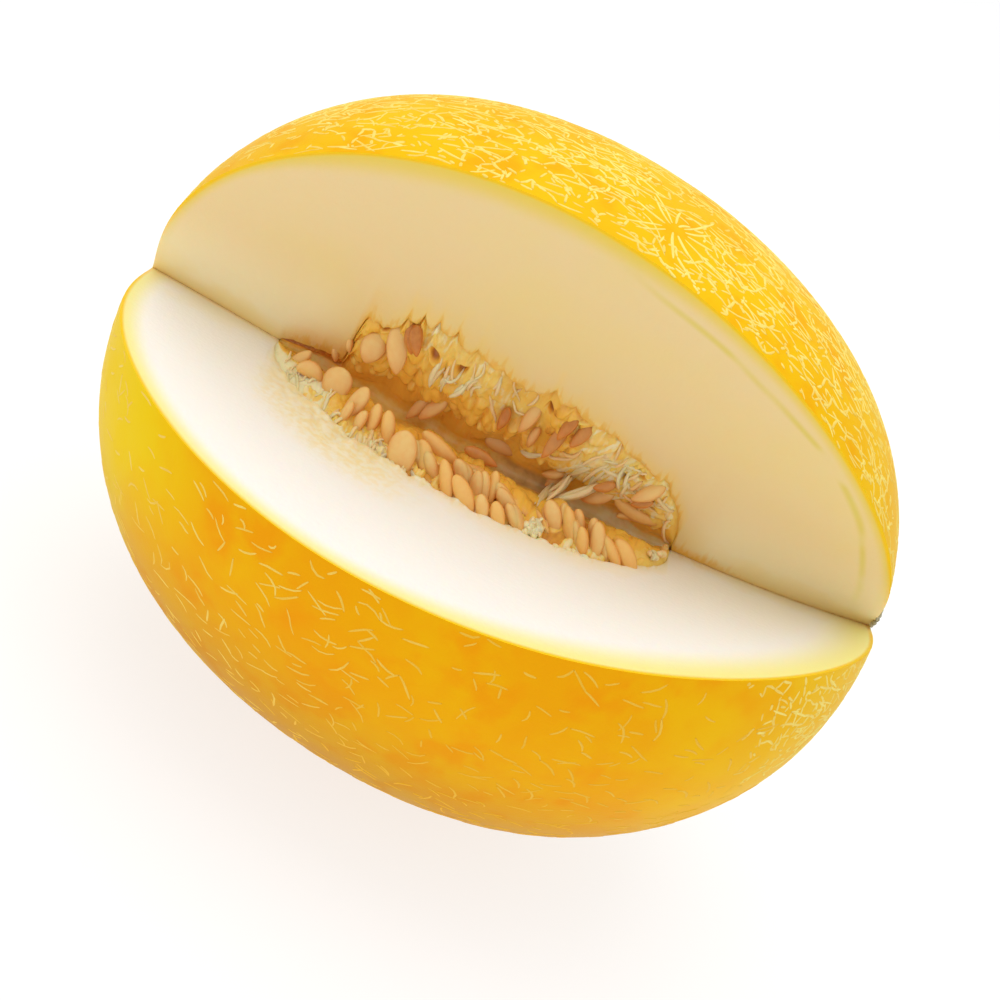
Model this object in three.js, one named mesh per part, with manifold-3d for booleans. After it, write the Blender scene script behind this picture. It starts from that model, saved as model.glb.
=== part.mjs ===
// A whole yellow melon lying on its side, with one long wedge cut out of it down to the seeds.
// Millimetres, +Z up. +X points to the stem end, -Y to the side that the cut opens to.
// The origin is on the surface that the fruit lies on, under the middle of its axis.

import Module from "manifold-3d";
import * as THREE from "three";
import { mergeVertices } from "three/addons/utils/BufferGeometryUtils.js";

// The fruit's outside
const HALF_LENGTH = 104;
const GIRTH_RADIUS = 86;
const FULLNESS = 2.14; // exponent of the outline: 2 is an ellipse, more is fuller
const TAPER = 0.01; // how much thicker than the middle the blossom end is drawn
const AXIS_HEIGHT = 84.6; // a little under the radius, which leaves a flat spot to lie on

// The cut's inner line: where it leaves the skin, measured from the axis, and how far it bows
const BLOSSOM_EXIT = { back: 1, rise: -6.2 };
const STEM_EXIT = { back: 14.2, rise: 12.9 };
const BOW = { forward: 7.2, forwardSkew: 1.4, drop: 2.6, dropSkew: 2.9 };

// The cut's two rims on the skin, in degrees from straight up towards the front
const UPPER_RIM = { middle: 26.4, skew: 5.3, ends: 9.4 };
const LOWER_RIM = { middle: 89.3, skew: -4.9, ends: -9.6 };

// The seed hollow round the cut's inner line
const HOLLOW_RADIUS = 29;
const HOLLOW_HALF_LENGTH = 57;
const HOLLOW_MIDDLE = -8;
const HOLLOW_BLUNTNESS = { blossomEnd: 2, stemEnd: 2.8 }; // exponents, as for the outline
// The lip's torn points: their share of the radius, and two waves along and round the hollow
const LIP_TEARS = { reach: 0.08, coarse: { along: 17, round: -3 }, fine: { along: 28.3, round: 5 } };

// The seed bed that fills the hollow, and the cleft along its middle
const BED_GAP = 0.8;
const BED_RECESS = 3.4; // how far behind the cut face a bank starts at the lip
const BED_CREST = { upper: 3.2, lower: 6.4 }; // how far a bank swells out again on its way to the cleft
const BED_RIPPLE = { depth: 0.9, along: 38, round: 7, upperShift: 2 };
const BANK_START = 0.985; // share of the hollow's radius
const TIP_REACH = 0.85; // how far the bed's ends reach towards the next section
const CLEFT_HALF_WIDTH = 3;
const CLEFT_DEPTH = 7.5;

// The seeds
const SEED = { length: 11.5, width: 6, thickness: 2.6 };
const SEED_POINTEDNESS = 0.35;
// radius and height place a row's middle where the hollow is widest, from the inner line and from
// the cut face. In degrees, lift stands a seed's tip out of its bank and turn rolls it on its edge.
const SEED_ROWS = [
  { bank: "lower", radius: 22.8, height: 0.6, spacing: 5.2, lift: 56, turn: 16 },
  { bank: "lower", radius: 16, height: 1.4, spacing: 7.2, lift: 44, turn: 24 },
  { bank: "upper", radius: 20.6, height: -1.4, spacing: 7.6, lift: 14, turn: 25 },
  { bank: "upper", radius: 12, height: -0.6, spacing: 8.8, lift: 24, turn: 40 },
];
const SEED_SCATTER = { lift: 12, turn: 30, lean: 26, spacing: 0.3 };
const SEED_ROW_REACH = 0.86; // share of the hollow's length that has seeds
const SEED_CLEARANCE = 0.6;
const RANDOM_SEED = 7;

// The scar that the stalk left, just above the cut at the stem end
const SCAR = { radius: 4.6, height: 1.3, aboveCut: 5.5 };

// How finely each surface is divided
const STATIONS = 56; // sections along the cut
const SKIN_STEPS = 38;
const FACE_STEPS = 3;
const HOLLOW_STEPS = 16;
const BANK_STEPS = 4;

const SCAR_SIDES = 10;
const SCAR_RINGS = 6;
const SEED_SIDES = 6;
const SEED_RINGS = 4;

const UP = new THREE.Vector3(0, 0, 1);
const SAME_POINT = 1e-3; // vertices nearer than this are one
const SLOPE_STEP = 0.01; // how far apart the levels are read for the skin's direction
const SEARCH_REACH = 3; // the skin is always nearer than this many times the reach
const SEARCH_STEPS = 40;

const wasm = await Module();
wasm.setup();

// A repeatable stream of numbers from 0 to 1: each state is worked out from the one before
function randomStream(seed) {
  const [factor, shift, range] = [1664525, 1013904223, 2 ** 32];
  let state = seed;
  return () => {
    state = (state * factor + shift) % range;
    return state / range;
  };
}

const lerp = (a, b, share) => a + (b - a) * share;

// 1 on the skin, less inside: a superellipse turned round the X axis
function skinLevel(p) {
  const girth = GIRTH_RADIUS * (1 - (TAPER * p.x) / HALF_LENGTH);
  const along = Math.abs(p.x) / HALF_LENGTH;
  const out = Math.hypot(p.y, p.z) / girth;
  return along ** FULLNESS + out ** FULLNESS;
}

// The point where a ray from inside the fruit meets the skin, found by halving
function skinAlong(start, reach) {
  let near = 0;
  let far = SEARCH_REACH;
  const point = new THREE.Vector3();
  for (let step = 0; step < SEARCH_STEPS; step++) {
    const middle = (near + far) / 2;
    point.copy(start).addScaledVector(reach, middle);
    if (skinLevel(point) < 1) near = middle;
    else far = middle;
  }
  return point;
}

function exitPoint(side, exit) {
  const start = new THREE.Vector3(0, exit.back, exit.rise);
  return skinAlong(start, new THREE.Vector3(side * HALF_LENGTH, 0, 0));
}

// The straight chord between the cut's two ends, and the directions across it
const blossomEnd = exitPoint(-1, BLOSSOM_EXIT);
const stemEnd = exitPoint(1, STEM_EXIT);
const chordMiddle = blossomEnd.clone().add(stemEnd).multiplyScalar(0.5);
const halfChord = stemEnd.distanceTo(blossomEnd) / 2;
const along = stemEnd.clone().sub(blossomEnd).normalize();
const upward = UP.clone().addScaledVector(along, -UP.dot(along)).normalize();
const frontward = new THREE.Vector3().crossVectors(along, upward);

// The direction across the chord at an angle from upward towards the front
function across(angle) {
  return upward.clone().multiplyScalar(Math.cos(angle)).addScaledVector(frontward, Math.sin(angle));
}

// Place along the chord: 1 at the stem end, -1 at the blossom end
function innerLine(place) {
  const bow = 1 - place * place;
  const forward = bow * (BOW.forward + BOW.forwardSkew * place);
  const drop = bow * (BOW.drop + BOW.dropSkew * place);
  const point = chordMiddle.clone().addScaledVector(along, halfChord * place);
  return point.add(new THREE.Vector3(0, -forward, -drop));
}

function rimAngle(rim, place) {
  return THREE.MathUtils.degToRad(rim.middle + rim.skew * place + rim.ends * place * place);
}

function skinPoint(place, angle) {
  const reach = along.clone().multiplyScalar(halfChord * place);
  reach.addScaledVector(across(angle), GIRTH_RADIUS * Math.sqrt(1 - place * place));
  return skinAlong(chordMiddle, reach);
}

// What a section across the fruit needs: the inner line's point and the two cut faces' directions
function section(place) {
  const apex = innerLine(place);
  const upperRim = skinPoint(place, rimAngle(UPPER_RIM, place));
  const lowerRim = skinPoint(place, rimAngle(LOWER_RIM, place));
  const upperWay = upperRim.clone().sub(apex).normalize();
  const lowerWay = lowerRim.clone().sub(apex).normalize();
  const angleOf = (way) => Math.atan2(way.dot(frontward), way.dot(upward));
  return {
    apex,
    upperRim,
    lowerRim,
    upperWay,
    lowerWay,
    upperAngle: angleOf(upperWay),
    lowerAngle: angleOf(lowerWay),
  };
}

// A direction from the apex through the flesh, from the lower face (0) round to the upper face (1)
function wayThroughFlesh(cut, share) {
  const angle = lerp(cut.lowerAngle, cut.upperAngle + 2 * Math.PI, share);
  const slant = lerp(cut.lowerWay.dot(along), cut.upperWay.dot(along), share);
  return across(angle).multiplyScalar(Math.sqrt(1 - slant * slant)).addScaledVector(along, slant);
}

// The hollow's radius where its ends close in on the inner line, less a margin all round
function hollowRadius(place, margin = 0) {
  const offset = place * halfChord - HOLLOW_MIDDLE;
  const share = Math.abs(offset) / (HOLLOW_HALF_LENGTH - 2 * margin);
  if (share >= 1) return 0;
  const bluntness = offset < 0 ? HOLLOW_BLUNTNESS.blossomEnd : HOLLOW_BLUNTNESS.stemEnd;
  return (HOLLOW_RADIUS - margin) * (1 - share ** bluntness) ** (1 / bluntness);
}

// The flesh tears in points round the hollow, always outwards
function raggedRadius(place, share) {
  const wave = ({ along, round }) => Math.sin(along * place + round * share);
  const tear = Math.abs(wave(LIP_TEARS.coarse) * wave(LIP_TEARS.fine));
  return hollowRadius(place) * (1 + LIP_TEARS.reach * tear);
}

// Closed loop of points round the flesh: over the skin, in along the upper face, round the
// hollow's wall and out along the lower face. Where there is no hollow its wall is one point.
function fruitLoop(place) {
  const cut = section(place);
  const loop = [];
  const start = rimAngle(LOWER_RIM, place);
  const end = rimAngle(UPPER_RIM, place) + 2 * Math.PI;
  for (let i = 0; i <= SKIN_STEPS; i++) {
    loop.push(skinPoint(place, lerp(start, end, i / SKIN_STEPS)));
  }
  const wall = [];
  for (let i = 0; i <= HOLLOW_STEPS; i++) {
    const share = 1 - i / HOLLOW_STEPS;
    const way = wayThroughFlesh(cut, share);
    wall.push(cut.apex.clone().addScaledVector(way, raggedRadius(place, share)));
  }
  for (let i = 1; i < FACE_STEPS; i++) {
    loop.push(cut.upperRim.clone().lerp(wall[0], i / FACE_STEPS));
  }
  loop.push(...wall);
  for (let i = 1; i < FACE_STEPS; i++) {
    loop.push(wall.at(-1).clone().lerp(cut.lowerRim, i / FACE_STEPS));
  }
  return loop;
}

// One bank of the seed bed, from the lip in to the cleft, a little behind the cut face
function bank(cut, place, upper) {
  const radius = hollowRadius(place, BED_GAP);
  const size = radius / HOLLOW_RADIUS;
  const way = upper ? cut.upperWay : cut.lowerWay;
  const angle = upper ? cut.upperAngle - Math.PI / 2 : cut.lowerAngle + Math.PI / 2;
  const inward = across(angle);
  const points = [];
  for (let i = 0; i <= BANK_STEPS; i++) {
    const share = i / BANK_STEPS;
    const distance = lerp(radius * BANK_START, CLEFT_HALF_WIDTH * size, share);
    const phase = BED_RIPPLE.along * place + BED_RIPPLE.round * share + (upper ? BED_RIPPLE.upperShift : 0);
    const swelling = (upper ? BED_CREST.upper : BED_CREST.lower) * Math.sin(Math.PI * share);
    const recess = (BED_RECESS + BED_RIPPLE.depth * Math.sin(phase) - swelling) * size;
    const point = cut.apex.clone().addScaledVector(way, distance);
    points.push(point.addScaledVector(inward, recess));
  }
  return points;
}

// Closed loop round the seed bed: its back against the hollow's wall, its two banks and the cleft
function bedLoop(place) {
  const cut = section(place);
  const radius = hollowRadius(place, BED_GAP);
  const size = radius / HOLLOW_RADIUS;
  const aroundFlesh = 2 * Math.PI - cut.lowerAngle + cut.upperAngle;
  const trim = (BED_RECESS + BED_RIPPLE.depth) / HOLLOW_RADIUS / aroundFlesh;
  const loop = [];
  for (let i = 0; i <= HOLLOW_STEPS; i++) {
    const way = wayThroughFlesh(cut, lerp(trim, 1 - trim, i / HOLLOW_STEPS));
    loop.push(cut.apex.clone().addScaledVector(way, radius));
  }
  loop.push(...bank(cut, place, true));
  const floor = wayThroughFlesh(cut, 0.5);
  loop.push(cut.apex.clone().addScaledVector(floor, CLEFT_DEPTH * size));
  loop.push(...bank(cut, place, false).reverse());
  return loop;
}

// A closed surface through loops of equal length, shut at each end by a fan to one point
function loftSolid(loops, firstPoint, lastPoint) {
  const size = loops[0].length;
  const points = [...loops.flat(), firstPoint, lastPoint];
  const first = points.length - 2;
  const last = points.length - 1;
  const index = [];
  for (let k = 0; k < size; k++) {
    const next = (k + 1) % size;
    index.push(first, k, next);
    for (let i = 0; i + 1 < loops.length; i++) {
      const here = i * size;
      const there = here + size;
      index.push(here + k, there + k, there + next);
      index.push(here + k, there + next, here + next);
    }
    const end = (loops.length - 1) * size;
    index.push(last, end + next, end + k);
  }
  const geometry = new THREE.BufferGeometry().setFromPoints(points);
  geometry.setIndex(index);
  return solidFrom(geometry);
}

// A closed three.js geometry as a solid: shared points merged, triangles with no area left out
function solidFrom(source) {
  const geometry = source.clone();
  geometry.deleteAttribute("normal");
  geometry.deleteAttribute("uv");
  const merged = mergeVertices(geometry, SAME_POINT);
  const index = merged.index.array;
  const kept = [];
  for (let i = 0; i < index.length; i += 3) {
    const [a, b, c] = index.slice(i, i + 3);
    if (a !== b && b !== c && c !== a) kept.push(a, b, c);
  }
  const mesh = new wasm.Mesh({
    numProp: 3,
    vertProperties: new Float32Array(merged.attributes.position.array),
    triVerts: new Uint32Array(kept),
  });
  return new wasm.Manifold(mesh);
}

function geometryFrom(solid) {
  const { vertProperties, triVerts } = solid.getMesh();
  const geometry = new THREE.BufferGeometry();
  geometry.setAttribute("position", new THREE.BufferAttribute(new Float32Array(vertProperties), 3));
  geometry.setIndex(new THREE.BufferAttribute(new Uint32Array(triVerts), 1));
  geometry.computeVertexNormals();
  return geometry;
}

// The sections' places along the chord, close together at its ends, where the fruit curves most
const places = [];
for (let i = 1; i < STATIONS; i++) places.push(Math.cos((Math.PI * i) / STATIONS));

function fruitSolid() {
  const whole = loftSolid(places.map(fruitLoop), stemEnd, blossomEnd);
  const under = new THREE.BoxGeometry(2 * HALF_LENGTH, 2 * GIRTH_RADIUS, GIRTH_RADIUS);
  under.translate(0, 0, -AXIS_HEIGHT - GIRTH_RADIUS / 2);
  return whole.subtract(solidFrom(under)).add(scarSolid());
}

// The skin's direction outwards at a point, from the slope of its level
function skinNormal(point) {
  const slope = new THREE.Vector3();
  for (const axis of ["x", "y", "z"]) {
    const ahead = point.clone();
    ahead[axis] += SLOPE_STEP;
    slope[axis] = skinLevel(ahead) - skinLevel(point);
  }
  return slope.normalize();
}

// A low round cushion on the skin where the stalk broke off
function scarSolid() {
  const beside = stemEnd.clone().addScaledVector(across(0), SCAR.aboveCut);
  const centre = skinAlong(chordMiddle, beside.sub(chordMiddle));
  const geometry = new THREE.SphereGeometry(1, SCAR_SIDES, SCAR_RINGS);
  geometry.scale(SCAR.radius, SCAR.height, SCAR.radius);
  const turn = new THREE.Quaternion().setFromUnitVectors(new THREE.Vector3(0, 1, 0), skinNormal(centre));
  geometry.applyQuaternion(turn);
  geometry.translate(centre.x, centre.y, centre.z);
  return solidFrom(geometry);
}

// The bed goes through the same sections as the fruit, so that its facets lie along the hollow's
function bedSolid() {
  const inside = places.filter((place) => hollowRadius(place, BED_GAP) > 0);
  const tipBeyond = (last, before) => innerLine(last + TIP_REACH * (last - before));
  const stemTip = tipBeyond(inside[0], inside[1]);
  const blossomTip = tipBeyond(inside.at(-1), inside.at(-2));
  return loftSolid(inside.map(bedLoop), stemTip, blossomTip);
}

// A flat almond of few sides along Y, thin along Z, narrower at the end that is sunk in the bed
function seedGeometry() {
  const geometry = new THREE.SphereGeometry(0.5, SEED_SIDES, SEED_RINGS);
  const position = geometry.attributes.position;
  for (let i = 0; i < position.count; i++) {
    const y = position.getY(i);
    position.setX(i, position.getX(i) * (1 - SEED_POINTEDNESS * (0.5 - y)));
  }
  geometry.scale(SEED.width, SEED.length, SEED.thickness);
  return geometry;
}

// Whether a point keeps clear of the flesh: in front of a cut face or inside the hollow
function clearOfFlesh(point) {
  const place = point.clone().sub(chordMiddle).dot(along) / halfChord;
  const cut = section(place);
  const offset = point.clone().sub(cut.apex);
  const distance = offset.length();
  if (distance < hollowRadius(place) - SEED_CLEARANCE) return true;
  const angle = Math.atan2(offset.dot(frontward), offset.dot(upward));
  const fromUpper = distance * Math.sin(angle - cut.upperAngle);
  const fromLower = distance * Math.sin(cut.lowerAngle - angle);
  return Math.min(fromUpper, fromLower) > SEED_CLEARANCE;
}

// A seed half sunk in a bank, its tip towards the inner line
function placedSeed(place, row, random) {
  const cut = section(place);
  const upper = row.bank === "upper";
  const size = hollowRadius(place, BED_GAP) / HOLLOW_RADIUS;
  const way = (upper ? cut.upperWay : cut.lowerWay).clone();
  const outward = across(upper ? cut.upperAngle + Math.PI / 2 : cut.lowerAngle - Math.PI / 2);
  const spread = (range) => THREE.MathUtils.degToRad(range * (2 * random() - 1));
  const lift = THREE.MathUtils.degToRad(row.lift) + spread(SEED_SCATTER.lift);
  const turn = THREE.MathUtils.degToRad(row.turn) + spread(SEED_SCATTER.turn);
  const lean = spread(SEED_SCATTER.lean);
  const side = new THREE.Vector3().crossVectors(way, outward);
  const tip = way.clone().multiplyScalar(-Math.cos(lift)).addScaledVector(outward, Math.sin(lift));
  tip.applyAxisAngle(outward, lean);
  const thin = new THREE.Vector3().crossVectors(side, tip).normalize().applyAxisAngle(tip, turn);
  const wide = new THREE.Vector3().crossVectors(tip, thin);
  const centre = cut.apex.clone().addScaledVector(way, row.radius * size);
  centre.addScaledVector(outward, row.height * size);
  const matrix = new THREE.Matrix4().makeBasis(wide, tip, thin).setPosition(centre);
  return seedGeometry().applyMatrix4(matrix);
}

function seedSolids() {
  const random = randomStream(RANDOM_SEED);
  const seeds = [];
  const reach = HOLLOW_HALF_LENGTH * SEED_ROW_REACH;
  for (const row of SEED_ROWS) {
    const count = Math.floor((2 * reach) / row.spacing);
    for (let i = 0; i <= count; i++) {
      const shift = row.spacing * SEED_SCATTER.spacing * (2 * random() - 1);
      const offset = HOLLOW_MIDDLE - reach + i * row.spacing + shift;
      const seed = placedSeed(offset / halfChord, row, random);
      const points = [];
      for (let k = 0; k < seed.attributes.position.count; k++) {
        points.push(new THREE.Vector3().fromBufferAttribute(seed.attributes.position, k));
      }
      if (points.every(clearOfFlesh)) seeds.push(solidFrom(seed));
    }
  }
  return seeds;
}

function fuse(core, pieces) {
  return pieces.reduce((joined, piece) => joined.add(piece), core);
}

const skinMaterial = new THREE.MeshStandardMaterial({ color: 0xf4bf08, roughness: 0.45, metalness: 0 });
const seedMaterial = new THREE.MeshStandardMaterial({ color: 0xe0a050, roughness: 0.4, metalness: 0 });

function namedMesh(name, solid, material) {
  const mesh = new THREE.Mesh(geometryFrom(solid), material);
  mesh.name = name;
  return mesh;
}

const fruit = new THREE.Group();
fruit.position.z = AXIS_HEIGHT;
fruit.add(namedMesh("melon", fruitSolid(), skinMaterial));
fruit.add(namedMesh("seed_bed", fuse(bedSolid(), seedSolids()), seedMaterial));

export default fruit;
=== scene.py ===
# %% [markdown]
# # A yellow melon with a wedge cut out
#
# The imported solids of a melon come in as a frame, and this script gives them their looks. The
# real fruit is a smooth body of rind and flesh, a corky net on the rind, and a hollow full of
# pulp, seeds and strands. Each is a surface worked out with numpy from the same few sizes as the
# solids.

import math

import bpy
import numpy as np
from mathutils import Matrix


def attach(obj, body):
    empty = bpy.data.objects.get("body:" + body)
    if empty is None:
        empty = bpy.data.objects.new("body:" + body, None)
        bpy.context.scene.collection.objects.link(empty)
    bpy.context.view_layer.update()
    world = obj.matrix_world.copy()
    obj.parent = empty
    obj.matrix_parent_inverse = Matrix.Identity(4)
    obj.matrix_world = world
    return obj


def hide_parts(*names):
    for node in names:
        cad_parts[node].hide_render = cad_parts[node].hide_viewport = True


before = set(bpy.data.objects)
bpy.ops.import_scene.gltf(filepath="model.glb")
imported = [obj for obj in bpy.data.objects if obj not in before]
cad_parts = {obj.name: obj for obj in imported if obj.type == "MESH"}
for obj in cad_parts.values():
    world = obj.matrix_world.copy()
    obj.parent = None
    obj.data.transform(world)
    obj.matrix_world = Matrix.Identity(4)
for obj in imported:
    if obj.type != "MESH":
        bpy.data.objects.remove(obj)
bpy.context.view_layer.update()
MM = 0.001  # all shapes are worked out in millimetres, and Blender works in metres

# %% [markdown]
# ## The camera
#
# The picture was taken from a little above the fruit, near enough for its ends to look smaller,
# and it is turned: the fruit's long axis runs downhill. The camera could be aimed with a
# constraint, but three directions as plain vectors are clearer, and later steps use them to place
# seeds where the picture shows them. Points are in the fruit's own frame, with its axis at height
# 0.

# %% Camera
AXIS_HEIGHT = 84.6  # of the fruit's axis over the floor
CAMERA_AZIMUTH = math.radians(1.52)
CAMERA_ELEVATION = math.radians(26.99)
CAMERA_ROLL = math.radians(32.27)
CAMERA_DISTANCE = 512.0
AIM_RIGHT = 4.42  # how far from the axis the camera looks, before it is turned
AIM_UP = -6.70
CAMERA_LENS = 72
CAMERA_SENSOR = 36
PICTURE_SIZE = 1000
PIXELS_PER_SLOPE = PICTURE_SIZE * CAMERA_LENS / CAMERA_SENSOR


def unit(vectors):
    """Each vector divided by its length."""
    return vectors / np.linalg.norm(vectors, axis=-1, keepdims=True)


def camera_frame():
    """The camera's place, and the picture's right, its up and the way towards the viewer."""
    flat = math.cos(CAMERA_ELEVATION)
    sideways = math.sin(CAMERA_AZIMUTH) * flat
    back = np.array([sideways, -math.cos(CAMERA_AZIMUTH) * flat, math.sin(CAMERA_ELEVATION)])
    right = np.array([math.cos(CAMERA_AZIMUTH), math.sin(CAMERA_AZIMUTH), 0.0])
    up = np.cross(back, right)
    place = back * CAMERA_DISTANCE
    look = unit(right * AIM_RIGHT + up * AIM_UP - place)
    level = unit(np.cross(look, up))
    above = np.cross(level, look)
    turned_right = math.cos(CAMERA_ROLL) * level + math.sin(CAMERA_ROLL) * above
    turned_up = math.cos(CAMERA_ROLL) * above - math.sin(CAMERA_ROLL) * level
    return place, turned_right, turned_up, -look


EYE, PICTURE_RIGHT, PICTURE_UP, TOWARDS_EYE = camera_frame()


def make_camera():
    """The scene's camera, placed and turned by the vectors above."""
    data = bpy.data.cameras.new("camera")
    data.lens = CAMERA_LENS
    data.sensor_width = CAMERA_SENSOR
    data.sensor_fit = "HORIZONTAL"
    camera = bpy.data.objects.new("camera", data)
    bpy.context.scene.collection.objects.link(camera)
    turned = Matrix([*zip(PICTURE_RIGHT, PICTURE_UP, TOWARDS_EYE)]).to_4x4()
    place = (EYE + [0, 0, AXIS_HEIGHT]) * MM
    camera.matrix_world = Matrix.Translation(place) @ turned
    bpy.context.scene.camera = camera


def pixels_of(points):
    """Where points fall in the picture, counted from its top left corner."""
    offset = points - EYE
    depth = -offset @ TOWARDS_EYE
    right = PICTURE_SIZE / 2 + PIXELS_PER_SLOPE * (offset @ PICTURE_RIGHT) / depth
    down = PICTURE_SIZE / 2 - PIXELS_PER_SLOPE * (offset @ PICTURE_UP) / depth
    return np.stack([right, down], axis=-1)


make_camera()
print("the fruit's middle falls at pixel", pixels_of(np.zeros(3)).round(1))

# %% [markdown]
# ## Uneven values
#
# Nothing on a fruit is even. Blender has noise for single points, but here whole arrays of points
# need it at once, so a small noise is written with numpy: a random number on each corner of a
# lattice, blended smoothly between the corners.

# %% Blends and noise
RANDOM_SEED = 11
NOISE_TABLE = 256


def lerp(start, end, share):
    """The value that lies at a share of the way from start to end."""
    return start + (end - start) * share


def smooth(values, low, high):
    """0 below low and 1 above high, with a soft S between them."""
    share = np.clip((values - low) / (high - low), 0, 1)
    return share * share * (3 - 2 * share)


def noise(points, scale, seed=0):
    """Values from -1 to 1: random numbers on a lattice of that scale, blended between corners."""
    rng = np.random.default_rng(RANDOM_SEED + seed)
    order = rng.permutation(NOISE_TABLE)
    value = rng.uniform(-1, 1, NOISE_TABLE)
    cell = np.floor(points / scale).astype(int)
    inside = points / scale - cell
    blend = inside * inside * (3 - 2 * inside)
    total = 0
    for corner in np.ndindex(2, 2, 2):
        x, y, z = np.moveaxis(cell + corner, -1, 0)
        picked = value[order[(order[(order[x % NOISE_TABLE] + y) % NOISE_TABLE] + z) % NOISE_TABLE]]
        total = total + picked * np.where(corner, blend, 1 - blend).prod(axis=-1)
    return total


def rough_noise(points, scale, seed=0):
    """Noise at three scales, each half as large and half as strong as the one before."""
    return sum(noise(points, scale / 2**k, seed + k) / 2**k for k in range(3))


spots = np.array([[0, 0, 0.5], [3, 1, 2.5], [9, 7, 1.2]])
print("noise at three places:", noise(spots, 1.0).round(2))

# %% [markdown]
# ## The fruit's form
#
# The outside is an egg-like body: a curve a little fuller than an ellipse, turned round the long
# axis. The cut is described by a chord between its two ends. For each place along the chord there
# is a section with one point on the inner line, where the two cut faces meet, and one point on
# each rim. These are the formulas of the solids, so that every surface made here lies where they
# are.

# %% The outside
HALF_LENGTH = 104.0
GIRTH_RADIUS = 86.0
FULLNESS = 2.14
TAPER = 0.01
UNEVENNESS = 0.004  # of the distance from the middle
UNEVEN_SCALE = 38.0
SEARCH_REACH = 3.0
SEARCH_STEPS = 36
SLOPE_STEP = 0.05


def skin_level(points):
    """1 on the skin, less inside: length share and girth share, each to the power of FULLNESS."""
    x, y, z = np.moveaxis(points, -1, 0)
    girth = GIRTH_RADIUS * (1 - TAPER * x / HALF_LENGTH)
    return (abs(x) / HALF_LENGTH) ** FULLNESS + (np.hypot(y, z) / girth) ** FULLNESS


def skin_along(start, reach):
    """Where each ray from inside the fruit meets the skin, found by halving."""
    near = np.zeros(reach.shape[:-1] + (1,))
    far = np.full_like(near, SEARCH_REACH)
    for _ in range(SEARCH_STEPS):
        middle = (near + far) / 2
        inside = skin_level(start + reach * middle)[..., None] < 1
        near = np.where(inside, middle, near)
        far = np.where(inside, far, middle)
    return start + reach * near


def uneven(points):
    """Points moved a little outwards or inwards, in broad soft dents."""
    return points * (1 + UNEVENNESS * noise(points, UNEVEN_SCALE)[..., None])


def onto_skin(points):
    """Points moved straight out from the fruit's middle onto the even skin."""
    return points * skin_level(points)[..., None] ** (-1 / FULLNESS)


def skin_slope(points):
    """How fast the level grows along X, Y and Z."""
    level = skin_level(points)
    steps = SLOPE_STEP * np.eye(3)
    return np.stack([skin_level(points + step) - level for step in steps], axis=-1) / SLOPE_STEP


def depth_under_skin(points):
    """The distance to the skin: what the level lacks, divided by its slope."""
    slope = np.linalg.norm(skin_slope(points), axis=-1)
    return (1 - skin_level(points)) / slope


inside_tip = np.array([HALF_LENGTH - 10, 0, 0])
print("10 mm inside the tip the skin is", depth_under_skin(inside_tip).round(1), "mm away")

# %% The cut
BLOSSOM_EXIT = (1.0, -6.2)  # how far back from the axis and above it the inner line leaves the skin
STEM_EXIT = (14.2, 12.9)
BOW_FORWARD = (7.2, 1.4)  # in the middle, and what is added towards the stem end
BOW_DROP = (2.6, 2.9)
UPPER_RIM = (26.4, 5.3, 9.4)  # degrees: in the middle, more to the stem end, more to both ends
LOWER_RIM = (89.3, -4.9, -9.6)


def exit_point(side, spot):
    """Where a line along the fruit, through an exit's place, leaves the skin."""
    return skin_along(np.array([0.0, *spot]), np.array([side * HALF_LENGTH, 0.0, 0.0]))


BLOSSOM_END = exit_point(-1, BLOSSOM_EXIT)
STEM_END = exit_point(1, STEM_EXIT)
CHORD_MIDDLE = (BLOSSOM_END + STEM_END) / 2
HALF_CHORD = np.linalg.norm(STEM_END - BLOSSOM_END) / 2
ALONG = unit(STEM_END - BLOSSOM_END)
UPWARD = unit(np.array([0.0, 0.0, 1.0]) - ALONG * ALONG[2])
FRONTWARD = np.cross(ALONG, UPWARD)


def across(angle):
    """The direction across the chord at an angle from upward towards the front."""
    return np.cos(angle)[..., None] * UPWARD + np.sin(angle)[..., None] * FRONTWARD


def inner_line(place):
    """A point of the line where the cut faces meet: the chord's point, less a bow that is 0 at both
    ends. Place is -1 at the blossom end and 1 at the stem end."""
    bow = 1 - place**2
    forward = bow * (BOW_FORWARD[0] + BOW_FORWARD[1] * place)
    drop = bow * (BOW_DROP[0] + BOW_DROP[1] * place)
    bowed = np.stack([np.zeros_like(place), -forward, -drop], axis=-1)
    return CHORD_MIDDLE + HALF_CHORD * place[..., None] * ALONG + bowed


def rim_angle(rim, place):
    """A rim's angle round the chord: its middle value, plus shares of place and its square."""
    return np.radians(rim[0] + rim[1] * place + rim[2] * place**2)


def skin_point(place, angle):
    """The skin at a place along the chord and an angle round it."""
    reach = HALF_CHORD * place[..., None] * ALONG
    reach = reach + GIRTH_RADIUS * np.sqrt(1 - place**2)[..., None] * across(angle)
    return uneven(skin_along(CHORD_MIDDLE, reach))


def cut_face(place, upper):
    """The inner line's point, the rim's point, the unit way between them and its angle."""
    apex = inner_line(place)
    rim = skin_point(place, rim_angle(UPPER_RIM if upper else LOWER_RIM, place))
    way = unit(rim - apex)
    angle = np.arctan2(way @ FRONTWARD, way @ UPWARD)
    return apex, rim, way, angle


def in_wedge(points):
    """Whether points on the skin lie in the piece that is cut out."""
    offset = points - CHORD_MIDDLE
    forward, up = offset @ FRONTWARD, offset @ UPWARD
    length_share = offset @ ALONG / HALF_CHORD
    scale = np.hypot(length_share, np.hypot(forward, up) / GIRTH_RADIUS)
    place = np.clip(length_share / scale, -1, 1)
    angle = np.arctan2(forward, up)
    return (angle > rim_angle(UPPER_RIM, place)) & (angle < rim_angle(LOWER_RIM, place))


print("the cut is", round(2 * HALF_CHORD, 1), "mm long")

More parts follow.
